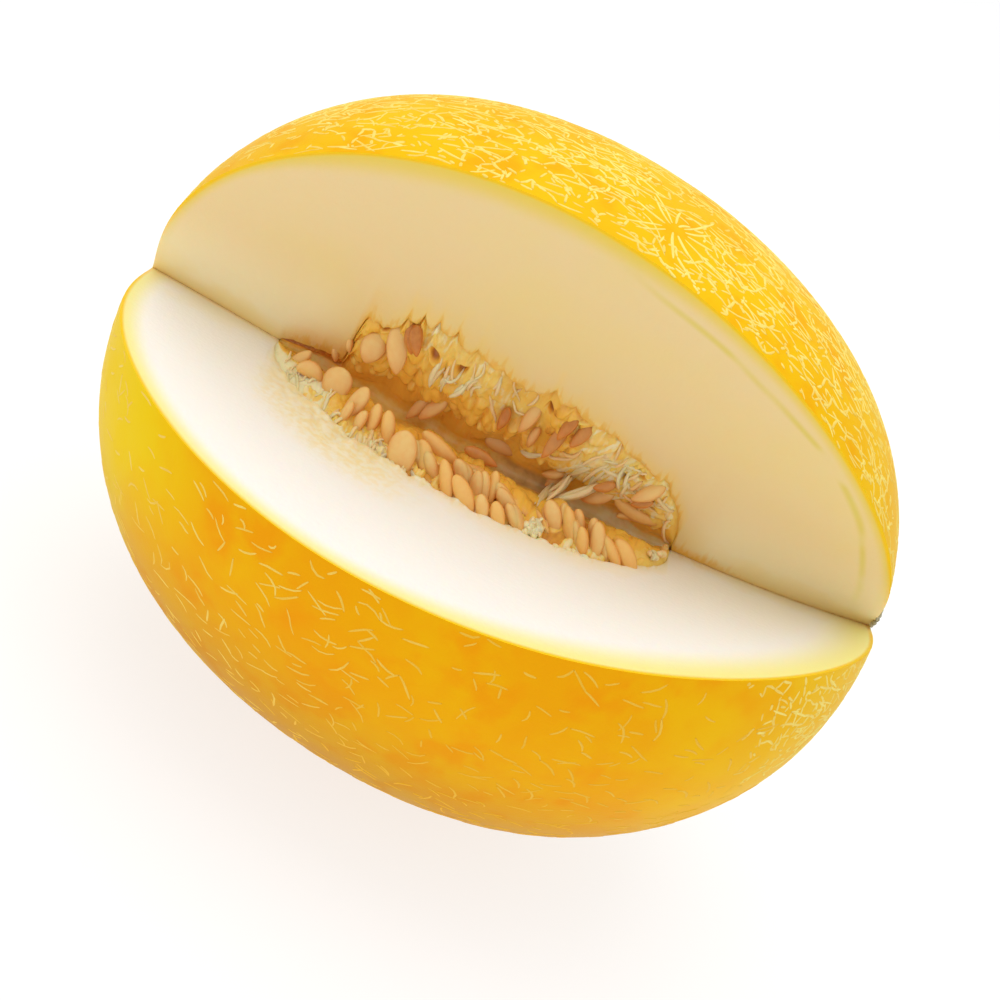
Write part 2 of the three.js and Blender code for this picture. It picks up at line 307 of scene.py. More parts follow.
# %% The hollow
HOLLOW_RADIUS = 29.0
HOLLOW_HALF_LENGTH = 57.0
HOLLOW_MIDDLE = -8.0
BLUNTNESS = {"blossom": 2.0, "stem": 2.8}
CREASE = 0.15  # radius of the crease where the faces meet outside the hollow


def hollow_radius(place, margin=0.0):
    """The hollow's radius: largest in its middle, closing to nothing at both ends."""
    offset = place * HALF_CHORD - HOLLOW_MIDDLE
    share = np.clip(abs(offset) / (HOLLOW_HALF_LENGTH - 2 * margin), 0, 1)
    bluntness = np.where(offset < 0, BLUNTNESS["blossom"], BLUNTNESS["stem"])
    return (HOLLOW_RADIUS - margin) * (1 - share**bluntness) ** (1 / bluntness)


print("hollow's radius in its middle:", hollow_radius(np.array([HOLLOW_MIDDLE / HALF_CHORD])))

# %% [markdown]
# ## From arrays to pieces
#
# A piece is an object at the origin whose mesh holds its place. Vertices and faces go in as whole
# arrays, and values that the materials read, such as the depth under the rind, go in as
# attributes. Two builders are enough: a closed loft through loops, and closed strands swept along
# many paths.

# %% Make a piece
def make_piece(name, points, quads, triangles, slot, **attributes):
    """A smooth mesh object from points in the fruit's frame, faces and values for each point."""
    mesh = bpy.data.meshes.new(name)
    corners = np.concatenate([np.ravel(quads), np.ravel(triangles)]).astype(np.int32)
    sizes = np.concatenate([np.full(len(quads), 4), np.full(len(triangles), 3)])
    placed = (points + [0, 0, AXIS_HEIGHT]) * MM
    placed[:, 2] = np.maximum(placed[:, 2], 0)
    mesh.vertices.add(len(points))
    mesh.vertices.foreach_set("co", placed.astype(np.float32).ravel())
    mesh.loops.add(len(corners))
    mesh.loops.foreach_set("vertex_index", corners)
    mesh.polygons.add(len(sizes))
    mesh.polygons.foreach_set("loop_start", (np.cumsum(sizes) - sizes).astype(np.int32))
    mesh.update(calc_edges=True)
    mesh.validate()
    mesh.shade_smooth()
    for key, values in attributes.items():
        layer = mesh.attributes.new(key, "FLOAT", "POINT")
        layer.data.foreach_set("value", np.ravel(values).astype(np.float32))
    piece = bpy.data.objects.new(name, mesh)
    bpy.context.scene.collection.objects.link(piece)
    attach(piece, "root")
    print(name, "has", len(points), "points and", 2 * len(quads) + len(triangles), "triangles")
    return piece


def loft(loops, first, last):
    """A closed surface through loops of one length, shut by a fan to a point at each end."""
    rows, columns = loops.shape[:2]
    points = np.concatenate([loops.reshape(-1, 3), [first, last]])
    index = np.arange(rows * columns).reshape(rows, columns)
    beside = np.roll(index, -1, axis=1)
    quads = np.stack([index[:-1], index[1:], beside[1:], beside[:-1]], axis=-1).reshape(-1, 4)
    start = np.full(columns, rows * columns)
    opening = np.stack([start, index[0], beside[0]], axis=-1)
    closing = np.stack([start + 1, beside[-1], index[-1]], axis=-1)
    return points, quads, np.concatenate([opening, closing])


# %% Sweep strands
def sweep(centres, side, up, half_width, half_height, outline):
    """Closed strands. Each ring is the path's point, plus side times half_width times the
    outline's first number, plus up times half_height times its second. A path's two ends are single
    points."""
    count, length = centres.shape[:2]
    corners = len(outline)
    wide = (side * half_width[..., None])[:, 1:-1, None] * outline[:, :1]
    high = (up * half_height[..., None])[:, 1:-1, None] * outline[:, 1:]
    rings = centres[:, 1:-1, None] + wide + high
    points = np.concatenate([rings.reshape(-1, 3), centres[:, [0, -1]].reshape(-1, 3)])
    index = np.arange(count * (length - 2) * corners).reshape(count, length - 2, corners)
    beside = np.roll(index, -1, axis=2)
    quads = np.stack([index[:, :-1], beside[:, :-1], beside[:, 1:], index[:, 1:]], axis=-1)
    tip = np.broadcast_to(index.size + 2 * np.arange(count)[:, None], (count, corners))
    opening = np.stack([tip, beside[:, 0], index[:, 0]], axis=-1)
    closing = np.stack([tip + 1, index[:, -1], beside[:, -1]], axis=-1)
    return points, quads.reshape(-1, 4), np.concatenate([opening, closing]).reshape(-1, 3)


def strand_values(values, corners):
    """One value for each ring of each strand, spread over the points that sweep makes."""
    inner = np.repeat(values[:, 1:-1], corners, axis=1)
    return np.concatenate([inner.ravel(), values[:, [0, -1]].ravel()])


def round_outline(corners, flatness=1.0):
    """Points round an oval, from the right side over the top."""
    turn = np.linspace(0, 2 * np.pi, corners, endpoint=False)
    return np.stack([np.cos(turn), flatness * np.sin(turn)], axis=-1)


print("a strand's round outline:", round_outline(4).round(1).tolist())

# %% [markdown]
# ## The flesh and the rind
#
# Rind and flesh are one body. Each section across the fruit is a loop: over the skin, in along
# the upper cut face, round the hollow's wall and out along the lower face. A boolean cut would
# leave uneven triangles, while a loft through loops keeps an even grid that bends smoothly. The
# lip of the hollow tears in points, because strands of pulp hold on to the flesh there.

# %% Sections of the body
HOLLOW_STATIONS = 236
TIP_STATIONS = 34
SKIN_COLUMNS = 112
FACE_COLUMNS = 52
WALL_COLUMNS = 44
RIM_CROWDING = 0.6  # 0 spaces the skin's columns evenly, 1 crowds them at the rims
LIP_CROWDING = 1.6
LIP_ROUNDING = 0.5  # how far the faces dip at the lip
LIP_ROUNDING_REACH = 1.2
SOFT_LIP_ROUNDING = 1.8  # the same two for the upper lip at the blossom end, where it is worn soft
SOFT_LIP_REACH = 4.5
SHUT_REACH = (44.5, 48.0)  # towards the blossom end the upper face nearly shuts the hollow
SHUT_RADIUS = 0.2  # share of the radius that stays open there
SHUT_ROUND = (0.8, 0.97)  # the wall closes in there between these shares of the way round it
TORN_SCALE = 2.2  # size and height of the torn fibres' relief round the lip
TORN_HEIGHT = 0.85
TORN_STRETCH = 0.5  # below 1 draws the fibres out away from the lip
TORN_REACH = 1.5  # width of the torn rim
TORN_PATCH_REACH = 15  # what the lower face adds to it towards the blossom end
TORN_PATCH_RAMP = (16, 38)  # how far towards that end the patch starts and is at its widest
WALL_BLEND = 0.08  # share of the way round over which the wall follows its dipped lips
WALL_LENGTH = 60  # the way round the wall, in mm, as the tears see it
LIP_TEAR = 0.8  # height and size of the tears
TEAR_SCALE = 5.0
TEAR_RADIUS = 12  # where the hollow is narrower than this the tears fade out
SPIKE_ROUND = 0.93  # spikes start at this share of the way round the wall
# where a spike of the upper lip stands along the chord, and its height
LIP_SPIKES = [
    (-52, 1.5), (-46.5, 4), (-40.5, -1.8), (-35.5, 6.2), (-31.8, 5.4), (-28, 6.2), (-22.8, 5.4),
    (-16.8, 4), (-9, 1), (-2, -1.8), (4.5, 5), (10.8, 3), (17, 2), (23, 1.5), (31, 1), (38.5, 2.5),
]
SPIKE_STEEP = 0.9  # a spike fades out over this length on its blossom side
SPIKE_LONG = 2.3  # and over this length on its stem side
FAR_FROM_LIP = 99  # stands for the distance from the lip on the skin
SHARP_ANGLE = math.radians(40)


def stations():
    """Places from the stem end to the blossom end: close and even over the hollow, then wider
    apart, and closing up again towards the two tips."""
    shares = (1 - np.arange(TIP_STATIONS) / TIP_STATIONS) ** 2
    stem = (HOLLOW_MIDDLE + HOLLOW_HALF_LENGTH + 2) / HALF_CHORD
    blossom = (HOLLOW_MIDDLE - HOLLOW_HALF_LENGTH - 2) / HALF_CHORD
    middle = np.linspace(stem, blossom, HOLLOW_STATIONS)[1:-1]
    return np.concatenate([(1 - (1 - stem) * shares)[::-1], middle, (1 + blossom) * shares - 1])


def way_through_flesh(place, share):
    """A direction from the inner line, from the lower face (share 0) round to the upper one (1)."""
    lower_way, lower_angle = cut_face(place, False)[2:]
    upper_way, upper_angle = cut_face(place, True)[2:]
    angle = lerp(lower_angle, upper_angle + 2 * np.pi, share)
    slant = lerp(lower_way @ ALONG, upper_way @ ALONG, share)[..., None]
    return across(angle) * np.sqrt(1 - slant**2) + ALONG * slant


def spike_height(place):
    """The height of the upper lip's spikes: each fades out faster on its blossom side."""
    height = np.zeros_like(place)
    for spot, tall in LIP_SPIKES:
        offset = place * HALF_CHORD - spot
        fade = np.where(offset < 0, SPIKE_STEEP, SPIKE_LONG)
        height = height + tall * np.exp(-abs(offset) / fade)
    return height


def shut(place):
    """1 at the blossom end, where the upper face nearly shuts the hollow, and 0 elsewhere."""
    return smooth(-place * HALF_CHORD, *SHUT_REACH)


def torn_radius(place, share):
    """The hollow's radius plus uneven tears all round and spikes where its wall meets the upper
    face. Share is 0 at the lower face and 1 at the upper one."""
    radius = hollow_radius(place) * lerp(1, SHUT_RADIUS, shut(place) * smooth(share, *SHUT_ROUND))
    spot = np.broadcast_arrays(place * HALF_CHORD, share * WALL_LENGTH, 0 * place)
    tears = LIP_TEAR * rough_noise(np.stack(spot, axis=-1), TEAR_SCALE)
    tears = tears + spike_height(place) * smooth(share, SPIKE_ROUND, 1.0)
    return np.maximum(radius + tears * smooth(radius, 0, TEAR_RADIUS), CREASE)


places = stations()
widest = np.diff(-places).max() * HALF_CHORD
print(len(places), "sections, at most", round(widest, 2), "mm apart")

# %% Build the body
FACES_APART = 50  # keeps the two faces' torn fibres from being the same


def torn_relief(place, to_lip, upper):
    """Low uneven fibres round the lip, wider on the lower face towards the blossom end."""
    along = place * HALF_CHORD
    reach = TORN_REACH + (0 if upper else TORN_PATCH_REACH) * smooth(-along, *TORN_PATCH_RAMP)
    spot = np.broadcast_arrays(along, to_lip * TORN_STRETCH, 0 * along + upper * FACES_APART)
    torn = rough_noise(np.stack(spot, axis=-1), TORN_SCALE, seed=30)
    return TORN_HEIGHT * torn * smooth(-to_lip, -reach, 0)


def face_grid(upper):
    """The points of a cut face between its rim and its lip, closer together towards the lip, their
    distances from the lip, and how far the face has moved off its plane at the lip."""
    apex, rim, way, angle = cut_face(places[:, None], upper)
    lip = apex + way * torn_radius(places[:, None], np.array([[float(upper)]]))[..., None]
    share = 1 - (1 - np.arange(1, FACE_COLUMNS) / FACE_COLUMNS) ** LIP_CROWDING
    to_lip = np.linalg.norm(rim - lip, axis=-1) * (1 - share)
    soft = upper * shut(places)[:, None]
    reach = lerp(LIP_ROUNDING_REACH, SOFT_LIP_REACH, soft)
    dip = lerp(LIP_ROUNDING, SOFT_LIP_ROUNDING, soft) * np.exp(-to_lip / reach)
    size = hollow_radius(places)[:, None] / HOLLOW_RADIUS
    dip = (dip - torn_relief(places[:, None], to_lip, upper)) * size
    inward = across(angle - np.pi / 2 if upper else angle + np.pi / 2)
    moved = inward * dip[..., None]
    return lerp(rim, lip, share[:, None]) + moved, to_lip, moved[:, -1:]


def body_loops():
    """Each section's loop, and for each point its distance from the lip (below 0 in the wall) and
    how much it belongs to the lower face."""
    even = np.linspace(0, 1, SKIN_COLUMNS + 1)
    share = lerp(even, (1 - np.cos(np.pi * even)) / 2, RIM_CROWDING)
    start = rim_angle(LOWER_RIM, places)[:, None]
    end = rim_angle(UPPER_RIM, places)[:, None] + 2 * np.pi
    skin = skin_point(places[:, None] + 0 * share, lerp(start, end, share))
    round_wall = np.linspace(1, 0, WALL_COLUMNS)
    way = way_through_flesh(places[:, None] + 0 * round_wall, round_wall)
    radius = torn_radius(places[:, None], round_wall)
    wall = inner_line(places)[:, None] + way * radius[..., None]
    wall_depth = -radius * np.minimum(round_wall, 1 - round_wall) * np.pi
    upper, upper_lip, upper_moved = face_grid(True)
    lower, lower_lip, lower_moved = face_grid(False)
    wall = wall + upper_moved * np.exp((round_wall - 1) / WALL_BLEND)[:, None]
    wall = wall + lower_moved * np.exp(-round_wall / WALL_BLEND)[:, None]
    loops = np.concatenate([skin, upper, wall, lower[:, ::-1]], axis=1)
    no_lip = np.full(skin.shape[:2], FAR_FROM_LIP)
    lip = np.concatenate([no_lip, upper_lip, wall_depth, lower_lip[:, ::-1]], axis=1)
    lower_share = [0 * share, 0 * upper_lip[0], 1 - round_wall, 1 + 0 * lower_lip[0]]
    return loops, lip, np.broadcast_to(np.concatenate(lower_share), lip.shape)


def with_tips(values):
    """A loft's values for each point, with zeros for its two tips."""
    return np.concatenate([values.ravel(), [0, 0]])


def build_body():
    """The loft through all sections: the first columns of each are rind, the others flesh."""
    loops, lip, lower = body_loops()
    points, quads, triangles = loft(loops, uneven(STEM_END), uneven(BLOSSOM_END))
    along = (points - CHORD_MIDDLE) @ ALONG
    depth = np.maximum(depth_under_skin(points), 0)
    body = make_piece("melon_body", points, quads, triangles, "skin_and_flesh",
                      depth=depth, lip=with_tips(lip), lower=with_tips(lower), along=along)
    is_flesh = np.arange(loops.shape[1]) >= SKIN_COLUMNS
    index = np.concatenate([np.tile(is_flesh, len(places) - 1), is_flesh, is_flesh])
    body.data.polygons.foreach_set("material_index", index.astype(np.int32))
    body.data.set_sharp_from_angle(angle=SHARP_ANGLE)
    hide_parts("melon")
    return body


melon_body = build_body()

# %% [markdown]
# ## The net on the rind
#
# The rind splits as the fruit swells, and each split heals as a raised line of cork. Over the
# top, the back and the stem end the lines join in a net. Lower down at the front they are short
# single dashes. A bump texture would look flat at the outline, so each line is a thin low ridge
# of its own. The net comes from evenly strewn points, each joined to those neighbours that no
# third point lies between, which gives the uneven meshes of real cork.

# %% Strew points and join neighbours
GOLDEN_TURN = math.pi * (3 - math.sqrt(5))
NET_POINTS = 12000
NET_JITTER = 1.4
NET_STRETCH = np.array([0.72, 1.0, 1.0])  # below 1 makes the meshes longer along the fruit
NEIGHBOURS = 9
STAR_REACH = 7.0
# centres of the stars of long lines, before they are moved onto the skin
STARS = np.array([[5.0, -16.0, 84.0], [-40.0, 40.0, 66.0], [55.0, 30.0, 60.0], [20.0, 80.0, 20.0]])


def strewn_points(count, jitter, rng):
    """Even points on the skin: turned by the golden angle from one to the next, then shaken."""
    turn = GOLDEN_TURN * np.arange(count)
    x = HALF_LENGTH * (1 - 2 * (np.arange(count) + 0.5) / count)
    out = GIRTH_RADIUS * np.sqrt(1 - (x / HALF_LENGTH) ** 2)
    points = np.stack([x, out * np.cos(turn), out * np.sin(turn)], axis=-1)
    return onto_skin(points + rng.normal(0, jitter, points.shape))


def neighbour_links(points):
    """Pairs of near points with no third point nearer to both than they are to each other."""
    points = (points * NET_STRETCH).astype(np.float32)
    squares = (points**2).sum(axis=1)
    gaps = np.sqrt(np.maximum(squares[:, None] + squares - 2 * points @ points.T, 0))
    np.fill_diagonal(gaps, np.inf)
    near = np.argpartition(gaps, NEIGHBOURS, axis=1)[:, :NEIGHBOURS]
    here = np.arange(len(points))[:, None]
    length = gaps[here, near]
    third = np.maximum(gaps[near[:, :, None], near[:, None]], length[:, None])
    linked = (third.min(axis=2) >= length) & (here < near)
    return np.stack([(here + 0 * near)[linked], near[linked]], axis=-1)


few = strewn_points(100, 0, np.random.default_rng(RANDOM_SEED))
print("a hundred points have", len(neighbour_links(few)), "links")

# %% Where the net lies
RIDGE_OUTLINE = np.array([[-1, -0.9], [1, -0.9], [0.4, 0.9], [-0.4, 0.9]])
RIDGE_HEIGHT = 0.09
RIDGE_TAPER = 0.3
FLOOR_CLEARANCE = 6.0
LEAST_KEPT = 3  # a path with no more points than this on open skin is left out
SLANT = 0.9  # how much a place's height counts besides how far back it is
NET_BEHIND = (12, 50)  # the net thickens between these two distances back and up from the axis
NET_STEM = (78, 100)  # and between these two towards the stem end
STEM_SLANT = 0.5
STEM_DENSITY = 0.8
PATCH_SIZE = 14  # the net comes and goes in patches of this size
PATCHINESS = (0.78, 0.5)  # the patches' mean density, and how far it goes up and down


def netted(points):
    """How densely the net covers the skin: 1 on top, behind and at the stem end, 0 in front."""
    x, y, z = np.moveaxis(points, -1, 0)
    behind = smooth(y + SLANT * z, *NET_BEHIND)
    stem = smooth(x + STEM_SLANT * z, *NET_STEM) * STEM_DENSITY
    patchy = PATCHINESS[0] + PATCHINESS[1] * noise(points, PATCH_SIZE, seed=3)
    return np.clip(np.maximum(behind, stem) * patchy, 0, 1)


def on_open_skin(paths):
    """Whether points lie on skin, clear of the cut and of the spot that the fruit lies on."""
    return (paths[..., 2] > FLOOR_CLEARANCE - AXIS_HEIGHT) & ~in_wedge(paths)


def blunt_shares(count):
    """Shares from 0 to 1 that crowd at both ends, so that a ridge keeps its width up to there."""
    return (1 - np.cos(np.pi * np.arange(count) / (count - 1))) / 2


def far_from_stars(points):
    """Whether points lie clear of all stars."""
    return (np.linalg.norm(points[:, None] - onto_skin(STARS), axis=-1) > STAR_REACH).all(axis=1)


def shortened(paths):
    """Paths cut off where they first meet the cut, and divided again, closer at both ends."""
    length = paths.shape[1]
    kept = np.cumprod(on_open_skin(paths), axis=1).sum(axis=1)
    spot = blunt_shares(length) * (np.maximum(kept, 2)[:, None] - 1)
    low = np.minimum(spot.astype(int), length - 2)
    row = np.arange(len(paths))[:, None]
    return lerp(paths[row, low], paths[row, low + 1], (spot - low)[..., None])[kept > LEAST_KEPT]


def ridges(paths, width, pale):
    """Low ridges of cork along paths on the skin, tapering at both ends."""
    up = unit(skin_slope(paths))
    heading = unit(np.gradient(paths, axis=1))
    taper = np.sin(np.pi * blunt_shares(paths.shape[1])) ** RIDGE_TAPER
    half_width = width[:, None] / 2 * taper
    half_height = RIDGE_HEIGHT * taper + 0 * half_width
    centres = uneven(paths)
    shape = sweep(centres, np.cross(up, heading), up, half_width, half_height, RIDGE_OUTLINE)
    return *shape, strand_values(pale[:, None] + 0 * half_width, len(RIDGE_OUTLINE))


def joined(shapes):
    """Several shapes as one: their points, faces and values, with the faces' numbers moved on."""
    points, quads, triangles, values = [], [], [], []
    total = 0
    for shape in shapes:
        points.append(shape[0])
        quads.append(shape[1] + total)
        triangles.append(shape[2] + total)
        values.append(shape[3])
        total += len(shape[0])
    return [np.concatenate(part) for part in (points, quads, triangles, values)]


spots = np.array([[0.0, 40, 70], [0, -80, 0]])
print("how dense the net is on top and in front:", netted(spots).round(2))

# %% The net's threads
NET_SEGMENTS = 4
NET_BOW = 0.13  # how far a thread bows, as a share of its length
NET_WIDTH = (0.75, 1.2)
OPEN_SHARE = 0.35  # of threads that stop short of the next point
OPEN_REACH = (0.35, 0.8)  # how far such a thread gets, as a share of its way
PALENESS = (0.35, 1.0)  # of threads where the net is thin and where it is thick
OVERRUN = 0.04  # how far a thread runs past its two points, as a share of its length


def net_threads(rng):
    """Threads between neighbouring points: each bows to one side, and some stop half way."""
    points = strewn_points(NET_POINTS, NET_JITTER, rng)
    points = points[netted(points) > 0]
    start, end = points[neighbour_links(points)].swapaxes(0, 1)
    middle = (start + end) / 2
    chosen = (rng.random(len(start)) < netted(middle)) & far_from_stars(middle)
    start, end = start[chosen], end[chosen]
    stop = rng.uniform(*OPEN_REACH, len(start))
    reach = np.where(rng.random(len(start)) < OPEN_SHARE, stop, 1 + OVERRUN)
    share = (blunt_shares(NET_SEGMENTS + 1) * (1 + OVERRUN) - OVERRUN) * reach[:, None]
    side = unit(np.cross(skin_slope(start), end - start))
    bow = rng.uniform(-NET_BOW, NET_BOW, len(start)) * np.linalg.norm(end - start, axis=1)
    straight = lerp(start[:, None], end[:, None], share[..., None])
    paths = onto_skin(straight + side[:, None] * (bow[:, None] * np.sin(np.pi * share))[..., None])
    paths = paths[on_open_skin(paths).all(axis=1)]
    pale = lerp(PALENESS[0], PALENESS[1], netted(paths[:, 0]))
    return ridges(paths, rng.uniform(*NET_WIDTH, len(paths)), pale)


def make_net(name, shapes):
    """Ridges as one piece, with the paleness of each."""
    points, quads, triangles, pale = joined(shapes)
    return make_piece(name, points, quads, triangles, "skin_and_flesh", pale=pale)


net_rng = np.random.default_rng(RANDOM_SEED)
skin_net = make_net("skin_net", [net_threads(net_rng)])

# %% Lines that creep over the skin
TURN_KEPT = 0.7  # share of each step's turn that is kept at the next
STAR_RAYS = 15
STAR_SHAKE = 0.12  # how unevenly the rays stand round the centre, in radians
STAR_START = (1.2, 3.5)  # how far off the centre a ray starts
STAR_LENGTH = (4, 15)
STAR_WAY = (8, 0.04)  # steps and wander


def crept_lines(start, heading, length, steps, wander, rng):
    """Lines that creep over the skin in equal steps, turning a little more or less at each."""
    points = [start]
    turn = rng.normal(0, wander, len(start))
    for _ in range(steps):
        turn = TURN_KEPT * turn + rng.normal(0, wander, len(start))
        normal = unit(skin_slope(points[-1]))
        side = np.cross(normal, heading)
        heading = unit(heading * np.cos(turn)[:, None] + side * np.sin(turn)[:, None])
        points.append(onto_skin(points[-1] + heading * (length / steps)[:, None]))
        heading = unit(points[-1] - points[-2])
    return np.stack(points, axis=1)


def heading_on_skin(start, angle):
    """A direction along the skin, at an angle from the fruit's length."""
    normal = unit(skin_slope(start))
    lengthwise = unit(np.array([1.0, 0, 0]) - normal * normal[:, :1])
    crosswise = np.cross(normal, lengthwise)
    return lengthwise * np.cos(angle)[:, None] + crosswise * np.sin(angle)[:, None]


def skin_lines(start, spread, crosswise, lengths, steps, wander, rng):
    """Lines from given starts, mostly lengthwise: spread is how much their angles vary, in radians,
    and crosswise is the share of them that run round the fruit instead."""
    angle = rng.normal(0, spread, len(start))
    angle = angle + np.where(rng.random(len(start)) < crosswise, np.pi / 2, 0)
    length = rng.uniform(*lengths, len(start))
    return shortened(crept_lines(start, heading_on_skin(start, angle), length, steps, wander, rng))


def star_lines(rng):
    """Lines that spread from each star's centre, starting a little way off it."""
    centre = np.repeat(onto_skin(STARS), STAR_RAYS, axis=0)
    angle = np.tile(np.linspace(0, 2 * np.pi, STAR_RAYS, endpoint=False), len(STARS))
    way = heading_on_skin(centre, angle + rng.normal(0, STAR_SHAKE, len(angle)))
    start = onto_skin(centre + way * rng.uniform(*STAR_START, (len(centre), 1)))
    length = rng.uniform(*STAR_LENGTH, len(centre))
    return shortened(crept_lines(start, way, length, *STAR_WAY, rng))


print("stars:", len(STARS), "with", STAR_RAYS, "rays each")

# %% Long lines, stars and dashes
STREAMS = 1900
STROKES = 3600
LINE_JITTER = 1.2
DASHES = 5200
DASH_JITTER = 1.6
DASH_CLEARANCE = 3.0  # how strongly the net keeps dashes away
DASH_GROUPS = (0.75, 0.5)  # the groups' mean density, and how far it goes up and down
DASH_GROUP_SIZE = 18
# spread of the angle, share that runs crosswise, lengths, steps and wander
STREAM_WAY = (0.2, 0.0, (3, 10), 6, 0.07)
STROKE_WAY = (0.8, 0.3, (1.6, 4.2), 3, 0.12)
DASH_WAY = (0.4, 0.1, (2.5, 7.5), 5, 0.13)
STREAM_WIDTH = (0.6, 1.0)
STROKE_WIDTH = (0.7, 1.2)
STAR_WIDTH = (0.8, 1.2)
DASH_WIDTH = (0.6, 0.9)
LINE_PALENESS = (0.6, 1)
# of dashes: everywhere, added towards the blossom end, added above the underside, and its spread
DASH_PALENESS = (0.1, 0.4, 0.1)
DASH_PALENESS_SPREAD = (0.6, 1.3)
DASH_BLOSSOM = (-25, 45)  # where it starts and is full towards the blossom end
DASH_RAISED = (-45, 0)  # and over the axis


def varied_ridges(lines, width):
    """Ridges along lines, each with a width and a paleness of its own."""
    count = len(lines)
    return ridges(lines, net_rng.uniform(*width, count), net_rng.uniform(*LINE_PALENESS, count))


def build_lines():
    """Streams run with the fruit's length over its top and back, strokes stand between them."""
    starts = strewn_points(3 * (STREAMS + STROKES), LINE_JITTER, net_rng)
    chosen = (net_rng.random(len(starts)) < netted(starts)) & far_from_stars(starts)
    starts = net_rng.permutation(starts[chosen])
    streams = skin_lines(starts[:STREAMS], *STREAM_WAY, net_rng)
    strokes = skin_lines(starts[STREAMS : STREAMS + STROKES], *STROKE_WAY, net_rng)
    stars = star_lines(net_rng)
    shapes = [varied_ridges(streams, STREAM_WIDTH), varied_ridges(strokes, STROKE_WIDTH)]
    shapes.append(ridges(stars, net_rng.uniform(*STAR_WIDTH, len(stars)), np.ones(len(stars))))
    return make_net("skin_lines", shapes)


def build_dashes():
    """Single dashes where there is no net: palest in front towards the blossom end, dull below."""
    starts = strewn_points(DASHES, DASH_JITTER, net_rng)
    bare = net_rng.random(len(starts)) > netted(starts) * DASH_CLEARANCE
    density = DASH_GROUPS[0] + DASH_GROUPS[1] * noise(starts, DASH_GROUP_SIZE, seed=6)
    gathered = net_rng.random(len(starts)) < density
    dashes = skin_lines(starts[bare & gathered], *DASH_WAY, net_rng)
    x, _, z = np.moveaxis(dashes[:, 0], -1, 0)
    least, blossom, raised = DASH_PALENESS
    pale = least + blossom * smooth(-x, *DASH_BLOSSOM) + raised * smooth(z, *DASH_RAISED)
    pale = pale * net_rng.uniform(*DASH_PALENESS_SPREAD, len(dashes))
    width = net_rng.uniform(*DASH_WIDTH, len(dashes))
    return make_net("skin_dashes", [ridges(dashes, width, pale)])


skin_streams = build_lines()
skin_dashes = build_dashes()

# %% [markdown]
# ## The seed bed
#
# Orange pulp fills the hollow: two banks that swell out from the lips, with a shallow cleft
# between them, where the thin grey skin inside shows. The solid under it has the same banks, only
# plain. Here each bank is covered with drops of pulp, each half an egg that starts thin near the
# lip and hangs towards the cleft. Wide drops make the glossy orange lumps, and long narrow ones
# make the torn pale fibres. The highest drop at a point gives its height and its tone, from 0,
# brown, over orange to 1, cream. Separate drops could overlap freely, but one surface has no
# seams and bends softly.

# %% Drops of pulp
# upper bank or lower, range along the chord, range inward from the lip, how many, length, width and
# height in mm, mean heading and its spread in degrees off inward, and lowest and highest tone
DROP_KINDS = [
    (True, (-46, -20), (4, 13), 24, (6, 9), (3.0, 5.2), (1.8, 3.2), (6, 12), (0.42, 0.55)),
    (True, (-46, -10), (9, 16), 18, (6, 9), (3.0, 4.8), (1.8, 3.0), (4, 14), (0.42, 0.52)),
    (True, (-46, -30), (-1, 4), 26, (4, 7), (1.8, 3.0), (0.8, 1.6), (0, 12), (0.4, 0.5)),
    (True, (-30, 0), (-2, 10), 170, (4, 8), (0.9, 2.2), (0.6, 1.5), (2, 16), (0.6, 0.9)),
    (True, (-29, -2), (0, 8), 34, (4, 7), (2.2, 3.8), (0.9, 1.8), (2, 12), (0.6, 0.8)),
    (True, (-24, 4), (9, 17), 34, (4, 7), (2.2, 3.6), (1.4, 2.4), (4, 14), (0.36, 0.55)),
    (True, (9, 17), (-1, 10), 24, (4, 7), (1.8, 3.0), (0.8, 1.8), (-20, 14), (0.2, 0.45)),
    (True, (17, 46), (-2, 15), 240, (5, 11), (0.9, 2.2), (0.6, 1.6), (-24, 12), (0.6, 0.95)),
    (True, (14, 44), (1, 12), 34, (5, 9), (2.4, 4.2), (1.0, 2.0), (-24, 12), (0.62, 0.85)),
    (True, (10, 44), (13, 19), 26, (4, 6), (2.2, 3.4), (1.0, 1.8), (-16, 14), (0.45, 0.65)),
    (True, (-46, 12), (18, 21), 22, (3, 5), (2.0, 2.8), (1.2, 2.0), (0, 16), (0.5, 0.68)),
    (False, (-54, 46), (3, 18), 90, (6, 11), (2.8, 5.0), (0.8, 1.8), (0, 15), (0.3, 0.5)),
    (False, (-50, 42), (-1, 2), 110, (3, 6), (1.0, 2.0), (0.6, 1.3), (0, 18), (0.6, 0.9)),
]
# holes in the torn pulp of the upper bank: along the chord, inward, radius and depth in mm
PULP_HOLES = [
    (-26, 7.2, 1.5, 2.5), (-18.5, 6, 1.4, 2.2), (29.5, 9, 1.3, 2.5), (33.3, 4.8, 1.2, 2.5),
    (-40, 1, 1.6, 1.5), (5.5, 7, 1.3, 2.0),
]
DROP_POINT = 0.6  # powers that shape a drop's thin start and its round end
DROP_ROUND = 0.42
DROP_START = 0.5  # share of its height that a drop starts with
FIBRE_WIDTH = 0.8
FIBRE_LENGTH = 5.0
FIBRE_HEIGHT = 0.28
FIBRE_LIGHT_AND_SHADE = 0.12  # how much paler a fibre's crest is than its foot: painted light on the crests and painted shade in the furrows


def egg_profile(share, point, blunt):
    """An egg's width along its length: pointed at 0, round at 1, and 1 where it is widest."""
    widest = point / (point + blunt)
    return share**point * (1 - share) ** blunt / (widest**point * (1 - widest) ** blunt)


